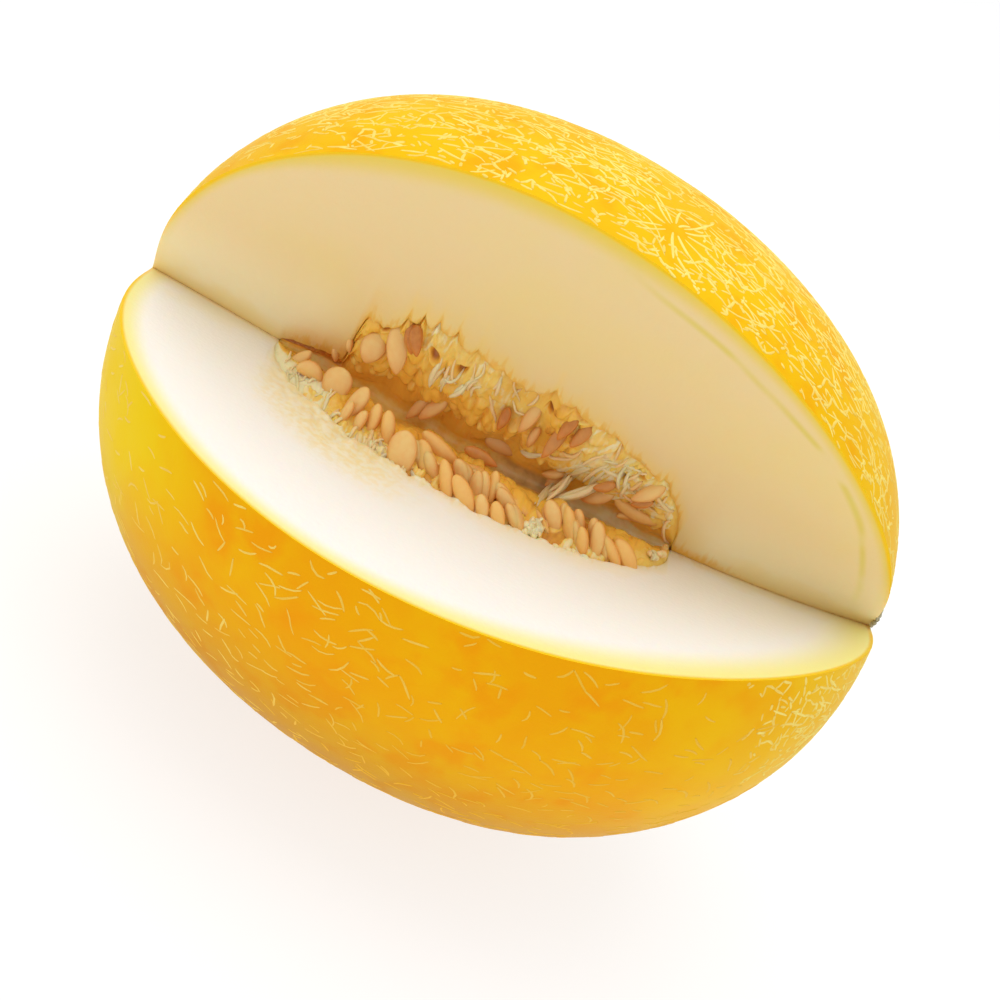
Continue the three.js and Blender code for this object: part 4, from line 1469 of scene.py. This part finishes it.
def build_scar():
    """Crumbs on a disc round the scar's centre: short thick strands that lie in all directions."""
    rng = np.random.default_rng(RANDOM_SEED + 4)
    centre, normal, first, second = scar_disc()
    turn = GOLDEN_TURN * np.arange(SCAR_CRUMBS)[:, None]
    out = SCAR_RADIUS * np.sqrt((np.arange(SCAR_CRUMBS)[:, None] + 0.5) / SCAR_CRUMBS)
    spots = onto_skin(centre + first * out * np.cos(turn) + second * out * np.sin(turn))
    spots = spots + normal * SCAR_HEIGHT * (1 - (out / SCAR_RADIUS) ** 2)
    angle = rng.uniform(0, np.pi, (SCAR_CRUMBS, 1))
    way = np.cos(angle) * first + np.sin(angle) * second
    ring = np.linspace(-0.5, 0.5, CRUMB_RINGS)
    length = rng.uniform(*CRUMB_SIZE, (SCAR_CRUMBS, 1))
    line = spots[:, None] + way[:, None] * (length * ring)[..., None]
    half = length * CRUMB_THICKNESS * np.cos(np.pi * ring) ** CRUMB_TAPER + CRUMB_END
    side = np.cross(normal, way)[:, None]
    shape = sweep(line, side, normal + 0 * side, half, half * CRUMB_FLATNESS, CRUMB_OUTLINE)
    tone = strand_values(rng.uniform(0, 1, (SCAR_CRUMBS, 1)) + 0 * ring, len(CRUMB_OUTLINE))
    return make_piece("stem_scar", *shape, "skin_and_flesh", tone=tone)


stem_scar = build_scar()

# %% [markdown]
# ## Finishes
#
# Each finish is a small tree of nodes. Colours are given as the picture shows them, from 0 to
# 255, and turned into the linear values that Blender reckons with. A few short helpers add a
# node, set it and link it in one line, so a finish reads from its pattern down to its shader.

# %% Colours


def paint(red, green, blue):
    """A colour from 0 to 255 as the picture shows it, turned into linear light."""
    share = np.array([red, green, blue]) / 255
    linear = np.where(share < 0.04045, share / 12.92, ((share + 0.055) / 1.055) ** 2.4)
    return (*linear.tolist(), 1.0)


print("mid grey in linear light:", [round(value, 3) for value in paint(128, 128, 128)])

# %% Add a node


def fill(tree, node, inputs):
    """Links each of a node's inputs to an output, or sets it to a value."""
    for socket, value in inputs.items():
        if isinstance(value, bpy.types.NodeSocket):
            tree.links.new(value, node.inputs[socket])
        else:
            node.inputs[socket].default_value = value


def add(tree, kind, inputs=(), output=0, **settings):
    """Adds a node, sets its properties, fills its inputs and gives back one output."""
    made = tree.nodes.new("ShaderNode" + kind)
    for name, value in settings.items():
        setattr(made, name, value)
    fill(tree, made, dict(inputs))
    return made.outputs[output]


def attribute(tree, name):
    """A value that comes with the mesh."""
    return add(tree, "Attribute", output="Fac", attribute_name=name)


def maths(tree, operation, first, second=0.0):
    """Two values worked into one."""
    return add(tree, "Math", {0: first, 1: second}, operation=operation)


def product(tree, first, *others):
    """Masks and numbers multiplied together."""
    for other in others:
        first = maths(tree, "MULTIPLY", first, other)
    return first


def rest(tree, mask):
    """What a mask leaves: 1 less the mask."""
    return maths(tree, "SUBTRACT", 1.0, mask)


def ramp(tree, value, low, high, to_low=0.0, to_high=1.0):
    """A smooth step of a value: to_low up to low, to_high from high on. Low may be above high."""
    inputs = {0: value, 1: low, 2: high, 3: to_low, 4: to_high}
    return add(tree, "MapRange", inputs, interpolation_type="SMOOTHSTEP")


# %% Mix colours


def mix(tree, mask, first, second):
    """The first colour where the mask is 0 and the second where it is 1. A colour is a node's
    output, or red, green and blue from 0 to 255."""
    first, second = [paint(*c) if isinstance(c, tuple) else c for c in (first, second)]
    return add(tree, "Mix", {0: mask, 6: first, 7: second}, output=2, data_type="RGBA")


def laid_on(tree, colour, tints):
    """A colour with tints laid on it in turn: each has a mask, the mask's strength and a colour."""
    for mask, strength, tint in tints:
        colour = mix(tree, product(tree, mask, strength), colour, tint)
    return colour


def graded(tree, value, colour, steps):
    """A colour that turns into the next one of each step as the value goes from low to high."""
    for low, high, following in steps:
        colour = mix(tree, ramp(tree, value, low, high), colour, following)
    return colour


# %% Start and end a finish


def new_material(name):
    """An empty material, its tree and the Object coordinates."""
    material = bpy.data.materials.new(name)
    material.use_nodes = True
    return material, material.node_tree, add(material.node_tree, "TexCoord", output="Object")


def finish(material, colour, relief, strength, settings, distance=0.0003):
    """Gives the material's shader its colour, its relief and what is the same all over."""
    tree = material.node_tree
    normal = add(tree, "Bump", {"Strength": strength, "Distance": distance, "Height": relief})
    shader = tree.nodes["Principled BSDF"]
    fill(tree, shader, {"Base Color": colour, "Normal": normal, **settings})
    print("finish", material.name, "has", len(tree.nodes), "nodes")
    return material


# %% Shared effect: patches


def new_group(name, inputs, outputs):
    """An empty node group with named inputs and outputs, and its two end nodes."""
    group = bpy.data.node_groups.new(name, "ShaderNodeTree")
    for label, kind, value in inputs:
        socket = group.interface.new_socket(label, in_out="INPUT", socket_type="NodeSocket" + kind)
        if value is not None:
            socket.default_value = value
    for label in outputs:
        group.interface.new_socket(label, in_out="OUTPUT", socket_type="NodeSocketFloat")
    return group, group.nodes.new("NodeGroupInput").outputs, group.nodes.new("NodeGroupOutput")


def make_patches():
    """Soft patches: noise of a size in millimetres, cut to a mask between two levels."""
    inputs = [("Vector", "Vector", None), ("Size", "Float", 10.0), ("Low", "Float", 0.4),
              ("High", "Float", 0.6), ("Detail", "Float", 3.0)]
    group, start, end = new_group("patches", inputs, ["Mask"])
    scale = maths(group, "DIVIDE", 1 / MM, start["Size"])
    inputs = {"Vector": start["Vector"], "Scale": scale, "Detail": start["Detail"]}
    value = add(group, "TexNoise", inputs)
    fill(group, end, {"Mask": ramp(group, value, start["Low"], start["High"])})
    return group


PATCHES = make_patches()


def patches(tree, where, size, low=0.4, high=0.6, detail=3.0):
    """The patches group placed in a material with its own sizes."""
    made = tree.nodes.new("ShaderNodeGroup")
    made.node_tree = PATCHES
    fill(tree, made, {"Vector": where, "Size": size, "Low": low, "High": high, "Detail": detail})
    return made.outputs["Mask"]


print("shared effect:", PATCHES.name, "with", len(PATCHES.nodes), "nodes")

# %% [markdown]
# ## The rind's finish
#
# The top and the back are a clear yellow. The front below the cut is golden with orange patches,
# and the two ends turn to a lemon yellow. The underside is a darker gold, which is painted shade.
# The finish reads the place on the object for the broad fields and noise for the patches. It is
# satin, with next to no shine.

# %% Rind
# where each field of colour starts and where it is full, in metres on the object
FRONT_FIELD = (0.11, 0.03)  # back and up
BLOSSOM_FIELD = (-0.045, -0.085)  # along the fruit
BLOSSOM_HEIGHT = (0.13, 0.10)  # and up
STEM_FIELD = (0.055, 0.098)
# the underside's painted shade: where its darker gold starts and is full, up the object
UNDER_SHADE_FIELD = (0.07, 0.01)
FIELD_WANDER = 0.02  # how far the edges of the two ends' fields wander
TOP_YELLOWS = (244, 184, 0), (246, 196, 0)
FRONT_GOLDS = (246, 170, 0), (246, 184, 0)


def rind_finish():
    """Yellow in patches, gold in front, other yellows at both ends, and painted shade in a darker
    gold below.
    """
    material, tree, where = new_material("rind")
    x, y, z = [add(tree, "SeparateXYZ", {0: where}, output=axis) for axis in range(3)]
    broad = patches(tree, where, 30, 0.3, 0.7)
    middling = patches(tree, where, 12, 0.48, 0.7)
    small = patches(tree, where, 5, 0.35, 0.7, 5)
    pores = patches(tree, where, 0.9, 0.2, 0.8, 4)
    ragged = product(tree, maths(tree, "SUBTRACT", broad, 0.5), FIELD_WANDER)
    lengthwise = maths(tree, "ADD", x, ragged)
    blossom_end = ramp(tree, lengthwise, *BLOSSOM_FIELD)
    blossom_end = product(tree, blossom_end, ramp(tree, z, *BLOSSOM_HEIGHT))
    top = laid_on(tree, mix(tree, broad, *TOP_YELLOWS), [(middling, 0.6, (244, 166, 2))])
    front = laid_on(tree, mix(tree, broad, *FRONT_GOLDS), [
        (middling, 0.65, (248, 154, 2)),
        (small, 0.25, (246, 160, 2)),
    ])
    back_and_up = maths(tree, "ADD", y, product(tree, z, SLANT))
    colour = graded(tree, back_and_up, top, [(*FRONT_FIELD, front)])
    colour = laid_on(tree, colour, [
        (blossom_end, 0.9, (246, 212, 0)),
        (ramp(tree, lengthwise, *STEM_FIELD), 0.8, (248, 198, 2)),
        # painted shade: the underside turns to a darker gold
        (ramp(tree, z, *UNDER_SHADE_FIELD), 0.8, (192, 138, 2)),
    ])
    roughness = ramp(tree, middling, 0.0, 1.0, 0.45, 0.52)
    settings = {"Roughness": roughness, "Specular IOR Level": 0.05}
    return finish(material, colour, pores, 0.12, settings)


RIND = rind_finish()

# %% Cork
CORK_COLOURS = (242, 184, 38), (255, 236, 130)  # dull and pale
SCAR_COLOURS = (150, 140, 96), (222, 216, 190)


def cork_finish():
    """From dull to pale, as each ridge's own value says, and worn in spots."""
    material, tree, where = new_material("cork")
    worn = ramp(tree, patches(tree, where, 2.5, 0.3, 0.7), 0.0, 1.0, 0.75, 1.0)
    colour = mix(tree, product(tree, attribute(tree, "pale"), worn), *CORK_COLOURS)
    grain = patches(tree, where, 0.5, 0.3, 0.7, 4)
    return finish(material, colour, grain, 0.25, {"Roughness": 0.6, "Specular IOR Level": 0.1})


def scar_finish():
    """Grey crumbs, each with a tone of its own."""
    material, tree, where = new_material("scar")
    colour = mix(tree, attribute(tree, "tone"), *SCAR_COLOURS)
    grain = patches(tree, where, 0.6, 0.3, 0.7, 4)
    return finish(material, colour, grain, 0.5, {"Roughness": 0.85, "Specular IOR Level": 0.1})


CORK = cork_finish()
SCAR = scar_finish()

# %% [markdown]
# ## The flesh's finish
#
# On the cut faces the colour depends on how deep a point lies under the rind, and how far it is
# from the hollow's lip. Both distances come with the mesh as attributes. Just under the rind is a
# thin yellow line, then a lemon tinge, then the pale flesh, and near the lip the first orange
# strands. Streaks that run out from the lip are noise read along these distances and squeezed one
# way. The upper face is a darker cream than the lower face's white, which is partly painted shade,
# and along the crease beyond the hollow lie painted light on the upper face and painted shade in
# gold. Wet flesh lets light in a little way, which the shader's subsurface gives.

# %% Where the flesh is tinted
# for each mask its smooth steps, whose product it is: the mesh's value, and where the step starts
# and is full, in mm along the chord, from the lip or under the rind
FLESH_MASKS = {
    "rind line": [("depth", 1.4, 0.4)],
    "vein": [("along", 0, 30)],
    "beside the hollow": [("along", -68, -58), ("along", 76, 50)],
    "soft lip": [("along", -42, -48), ("lip", 15, 0)],
    "smear": [("along", 44, 49), ("along", 66, 54), ("lip", 4.5, 0)],
    # the crease mask carries painted shade where the two faces meet
    "crease": [("lip", 2, 0)],
    "torn patch": [("along", -8, -32), ("lip", 24, 9)],
    "wall": [("lip", 0.1, -1.2)],
}


def flesh_mask(tree, name):
    """The product of a mask's smooth steps."""
    return product(tree, *[ramp(tree, attribute(tree, value), low, high)
                           for value, low, high in FLESH_MASKS[name]])


print(len(FLESH_MASKS), "masks for the flesh")

# %% Flesh under the rind
STEMWARD = (-30, 75)  # over this stretch of the chord the tinge's reach changes
UPPER_TINGE = (9, 4)  # from one reach to the other, in mm under the rind
LOWER_TINGE = (8, 18)
UPPER_TINGE_START = (-90, -50, 0.4, 1.0)  # it is narrower again at the blossom end
VEIN_DEPTH = (5, 8)
VEIN_REACH = 1.8  # how far the vein fades to either side


def rind_tints(tree, where, wavy):
    """Tints that follow the rind: a lemon tinge, a broken green vein on the upper face towards the
    stem end, and a thin yellow line."""
    depth, lower, along = [attribute(tree, name) for name in ("depth", "lower", "along")]
    narrower = ramp(tree, along, *UPPER_TINGE_START)
    upper_reach = product(tree, ramp(tree, along, *STEMWARD, *UPPER_TINGE), narrower)
    lower_reach = ramp(tree, along, *STEMWARD, *LOWER_TINGE)
    reach = add(tree, "Mix", {0: lower, 2: upper_reach, 3: lower_reach})
    tinge = ramp(tree, maths(tree, "DIVIDE", depth, reach), 1.0, 0.1)
    off_vein = maths(tree, "SUBTRACT", depth, ramp(tree, wavy, 0.0, 1.0, *VEIN_DEPTH))
    vein = ramp(tree, maths(tree, "ABSOLUTE", off_vein), VEIN_REACH, 0.0)
    broken = patches(tree, where, 20, 0.42, 0.55, 1)
    vein = product(tree, vein, rest(tree, lower), flesh_mask(tree, "vein"), broken)
    return [
        (tinge, 0.8, mix(tree, lower, (238, 208, 62), (247, 236, 110))),
        (vein, 0.55, (224, 204, 50)),
        (flesh_mask(tree, "rind line"), 1.0, (250, 204, 10)),
    ]


# %% Flesh round the hollow
PAINTED_LIGHT_PLACES = (44, 60)  # painted light on the upper face: from the chord's middle to both ends
PAINTED_LIGHT_REACH = (36, 0)
HAZE_REACH = (7, 16)
RAY_REACH = (0.8, 6.5)  # where there is no ray, and what a ray adds
RAY_SQUEEZE = 0.18  # below 1 draws the rays out away from the lip
STAIN_STRENGTH = (0.75, 0.5)  # on the upper and the lower face


def ray_pattern(tree):
    """Noise read along the chord and, squeezed, away from the lip, so that it runs out from it."""
    along = product(tree, attribute(tree, "along"), MM)
    out = product(tree, attribute(tree, "lip"), RAY_SQUEEZE * MM)
    space = add(tree, "CombineXYZ", {0: along, 1: out, 2: attribute(tree, "lower")})
    return patches(tree, space, 1.6, 0.4, 0.7, 4)


def lip_tints(tree, where, wavy):
    """Tints that follow the lip: painted light where the other face's shade would be too deep,
    juice in a haze and in rays, painted shade in gold along the crease beyond the hollow, torn
    fibres and the wall."""
    lip, lower, along = [attribute(tree, name) for name in ("lip", "lower", "along")]
    upper = rest(tree, lower)
    beside = flesh_mask(tree, "beside the hollow")
    # painted light: the upper face made paler near the crease towards both ends, where the lower
    # face shades it
    painted_light = ramp(tree, maths(tree, "ABSOLUTE", along), *PAINTED_LIGHT_PLACES)
    painted_light = product(tree, painted_light, upper, ramp(tree, lip, *PAINTED_LIGHT_REACH))
    haze_reach = ramp(tree, patches(tree, where, 14, 0.25, 0.75), 0.0, 1.0, *HAZE_REACH)
    rays = ray_pattern(tree)
    ray_reach = maths(tree, "ADD", product(tree, rays, RAY_REACH[1]), RAY_REACH[0])
    stain = product(tree, ramp(tree, lip, ray_reach, 0.0), beside)
    stain_strength = add(tree, "Mix", {0: lower, 2: STAIN_STRENGTH[0], 3: STAIN_STRENGTH[1]})
    soft_lip = product(tree, flesh_mask(tree, "soft lip"), upper, beside)
    # painted shade: a golden band along the crease beyond the hollow, where the faces meet
    crease = product(tree, flesh_mask(tree, "crease"), rest(tree, beside))
    patchy = ramp(tree, wavy, 0.0, 1.0, 0.6, 1.0)
    patch = product(tree, flesh_mask(tree, "torn patch"), lower, beside, patchy)
    fibres = patches(tree, where, 1.8, 0.35, 0.65, 5)
    return [
        (painted_light, 0.85, (255, 241, 202)),
        (ramp(tree, lip, haze_reach, 0.0), 0.5, mix(tree, lower, (250, 214, 112), (252, 234, 186))),
        (soft_lip, 0.35, (244, 186, 92)),
        (product(tree, flesh_mask(tree, "smear"), upper), 0.6, (246, 178, 66)),
        (stain, stain_strength, mix(tree, lower, (244, 188, 66), (252, 222, 146))),
        (crease, 0.6, (255, 220, 140)),
        (patch, 0.8, mix(tree, fibres, (253, 230, 158), (255, 246, 214))),
        (flesh_mask(tree, "wall"), 1.0, mix(tree, rays, (250, 196, 96), (255, 222, 146))),
    ]


# %% Flesh
# the upper face's creams are the flesh's own colour darkened with painted shade; the lower face is
# white
UPPER_CREAMS_AND_SHADE = (242, 216, 150), (242, 215, 160)
LOWER_WHITE = (255, 253, 250)


def flesh_finish():
    """Plain flesh, with a darker cream on the upper face that is partly painted shade and white on
    the lower face, and the tints of the rind and the lip laid on.
    """
    material, tree, where = new_material("flesh")
    upper_cream_and_shade = mix(tree, patches(tree, where, 45, 0.35, 0.65), *UPPER_CREAMS_AND_SHADE)
    wavy = patches(tree, where, 45, 0.3, 0.7, 1)
    colour = mix(tree, attribute(tree, "lower"), upper_cream_and_shade, LOWER_WHITE)
    tints = rind_tints(tree, where, wavy) + lip_tints(tree, where, wavy)
    fine = patches(tree, where, 1.2, 0.3, 0.7, 5)
    return finish(material, laid_on(tree, colour, tints), fine, 0.12, {
        "Roughness": 0.42,
        "Specular IOR Level": 0.2,
        "Subsurface Weight": 0.2,
        "Subsurface Scale": 0.003,
    })


FLESH = flesh_finish()

# %% [markdown]
# ## Pulp, seeds and strands
#
# Pulp is wet and glossy. Its tone comes with the mesh: brown, orange, tan or cream. Where the
# cleft's thin skin shows it is golden, then a dull tan and then a pale one, from the blossom end
# to the stem end. Seeds are a dull peach, each a little different, which an attribute of each
# seed gives. Strands go from orange to near white in the same way.

# %% Pulp
PULP_BROWN = (186, 106, 38)
# between which two tones the colour turns into the next one
PULP_TONES = [(0.0, 0.4, (255, 198, 80)), (0.4, 0.7, (255, 212, 106)), (0.7, 1.0, (255, 242, 200))]
# the cleft's skin and its lumps: towards the blossom end, in the middle and towards the stem end
CLEFT_SKINS = [
    ((250, 194, 80), (255, 218, 122)),
    ((202, 160, 96), (230, 194, 126)),
    ((246, 220, 150), (255, 238, 186)),
]
CLEFT_CHANGES = (-6, 4), (13, 20)  # between which places along the chord it turns into the next one


def pulp_finish():
    """The bed's tone turned into a colour, and the thin skin where the cleft is."""
    material, tree, where = new_material("pulp")
    spots = patches(tree, where, 2, 0.35, 0.7, 4)
    lumps = patches(tree, where, 4, 0.35, 0.65, 4)
    tone = maths(tree, "SUBTRACT", attribute(tree, "tone"), product(tree, spots, 0.05))
    golden, *others = [mix(tree, lumps, *pair) for pair in CLEFT_SKINS]
    steps = [(*places, skin) for places, skin in zip(CLEFT_CHANGES, others)]
    skin = graded(tree, attribute(tree, "along"), golden, steps)
    colour = graded(tree, tone, PULP_BROWN, PULP_TONES)
    colour = graded(tree, attribute(tree, "grey"), colour, [(0.1, 0.7, skin)])
    settings = {"Roughness": 0.26, "Subsurface Weight": 0.35, "Subsurface Scale": 0.003}
    return finish(material, colour, spots, 0.25, settings, distance=0.0004)


PULP = pulp_finish()

# %% Seeds and strands
SEED_BROWN = (196, 118, 40)
SEED_TONES = [(0.0, 0.45, (250, 208, 130)), (0.65, 0.9, (255, 204, 116))]
STRAND_ORANGE = (250, 172, 64)
STRAND_TONES = [(0.0, 1.0, (255, 236, 192))]


def seed_finish():
    """Each seed's tone turned into a colour, darker in spots and at one end."""
    material, tree, where = new_material("seed")
    grain = patches(tree, where, 1.6, 0.3, 0.7, 4)
    colour = graded(tree, attribute(tree, "tone"), SEED_BROWN, SEED_TONES)
    colour = laid_on(tree, colour, [
        (grain, 0.25, (246, 176, 88)),
        (attribute(tree, "end"), 0.6, (224, 134, 46)),
    ])
    settings = {"Roughness": 0.38, "Subsurface Weight": 0.2, "Subsurface Scale": 0.002}
    return finish(material, colour, grain, 0.1, settings)


def strand_finish():
    """Each strand's tone turned into a colour, a little mottled."""
    material, tree, where = new_material("strand")
    mottled = patches(tree, where, 3, 0.35, 0.65)
    colour = graded(tree, attribute(tree, "tone"), STRAND_ORANGE, STRAND_TONES)
    colour = laid_on(tree, colour, [(mottled, 0.3, (250, 206, 116))])
    return finish(material, colour, mottled, 0.1, {
        "Roughness": 0.5,
        "Specular IOR Level": 0.2,
        "Subsurface Weight": 0.3,
        "Subsurface Scale": 0.002,
    })


SEED = seed_finish()
STRAND = strand_finish()

# %% Put the finishes on


def dress(piece, *materials):
    """Gives a piece its finishes, in the order of its faces' numbers."""
    for material in materials:
        piece.data.materials.append(material)


dress(melon_body, RIND, FLESH)
for piece in (skin_net, skin_streams, skin_dashes):
    dress(piece, CORK)
dress(pulp_bed, PULP)
dress(melon_seeds, SEED)
dress(pulp_strands, STRAND)
dress(pulp_tufts, STRAND)
dress(stem_scar, SCAR)
print("finishes:", [material.name for material in bpy.data.materials])

# %% [markdown]
# ## Floor and light
#
# The picture is a plain studio shot: near-white all round and a broad soft light from above. A
# large pale floor and one big area light give that, and an even pale world fills the shadows.

# %% Floor
FLOOR_SIZE = 40.0
FLOOR_GREYS = (148, 148, 148), (152, 152, 152)
FLOOR_PATCH = 900
FLOOR_GLOW = 0.74  # light of the floor's own, as from a lit table, so that its shadow stays faint
WHITE = (1, 1, 1, 1)


def make_floor():
    """A level square that glows a little."""
    mesh = bpy.data.meshes.new("floor")
    half = FLOOR_SIZE / 2
    corners = [(-half, -half, 0), (half, -half, 0), (half, half, 0), (-half, half, 0)]
    mesh.from_pydata(corners, [], [(0, 1, 2, 3)])
    floor = bpy.data.objects.new("floor", mesh)
    bpy.context.scene.collection.objects.link(floor)
    material, tree, where = new_material("floor")
    fill(tree, tree.nodes["Principled BSDF"], {
        "Base Color": mix(tree, patches(tree, where, FLOOR_PATCH, 0.3, 0.7), *FLOOR_GREYS),
        "Roughness": 0.9,
        "Emission Color": WHITE,
        "Emission Strength": FLOOR_GLOW,
    })
    dress(floor, material)
    return floor


print("floor:", make_floor().dimensions[:], "metres")

# %% Light
KEY_PLACE = (-0.15, 0.1, 0.9)
KEY_AIM = (0, 0, 0.08)
KEY_SIZE = 1.0
KEY_POWER = 4.2
WORLD_STRENGTH = 0.72


def make_area_light(name, place, aim, size, power):
    """A square light at a place in metres that shines towards another place."""
    data = bpy.data.lights.new(name, "AREA")
    data.size = size
    data.energy = power
    light = bpy.data.objects.new(name, data)
    bpy.context.scene.collection.objects.link(light)
    back = unit(np.array(place) - aim)
    right = unit(np.cross([0.0, 1.0, 0.0], back))
    turned = Matrix([*zip(right, np.cross(back, right), back)]).to_4x4()
    light.matrix_world = Matrix.Translation(place) @ turned


def make_world(strength):
    """Even white light from all sides."""
    world = bpy.data.worlds.new("studio")
    world.use_nodes = True
    background = world.node_tree.nodes["Background"]
    background.inputs["Color"].default_value = WHITE
    background.inputs["Strength"].default_value = strength
    bpy.context.scene.world = world


make_area_light("key", KEY_PLACE, KEY_AIM, KEY_SIZE, KEY_POWER)
make_world(WORLD_STRENGTH)
bpy.context.scene.view_settings.view_transform = "Standard"
print("lights:", [light.name for light in bpy.data.lights])
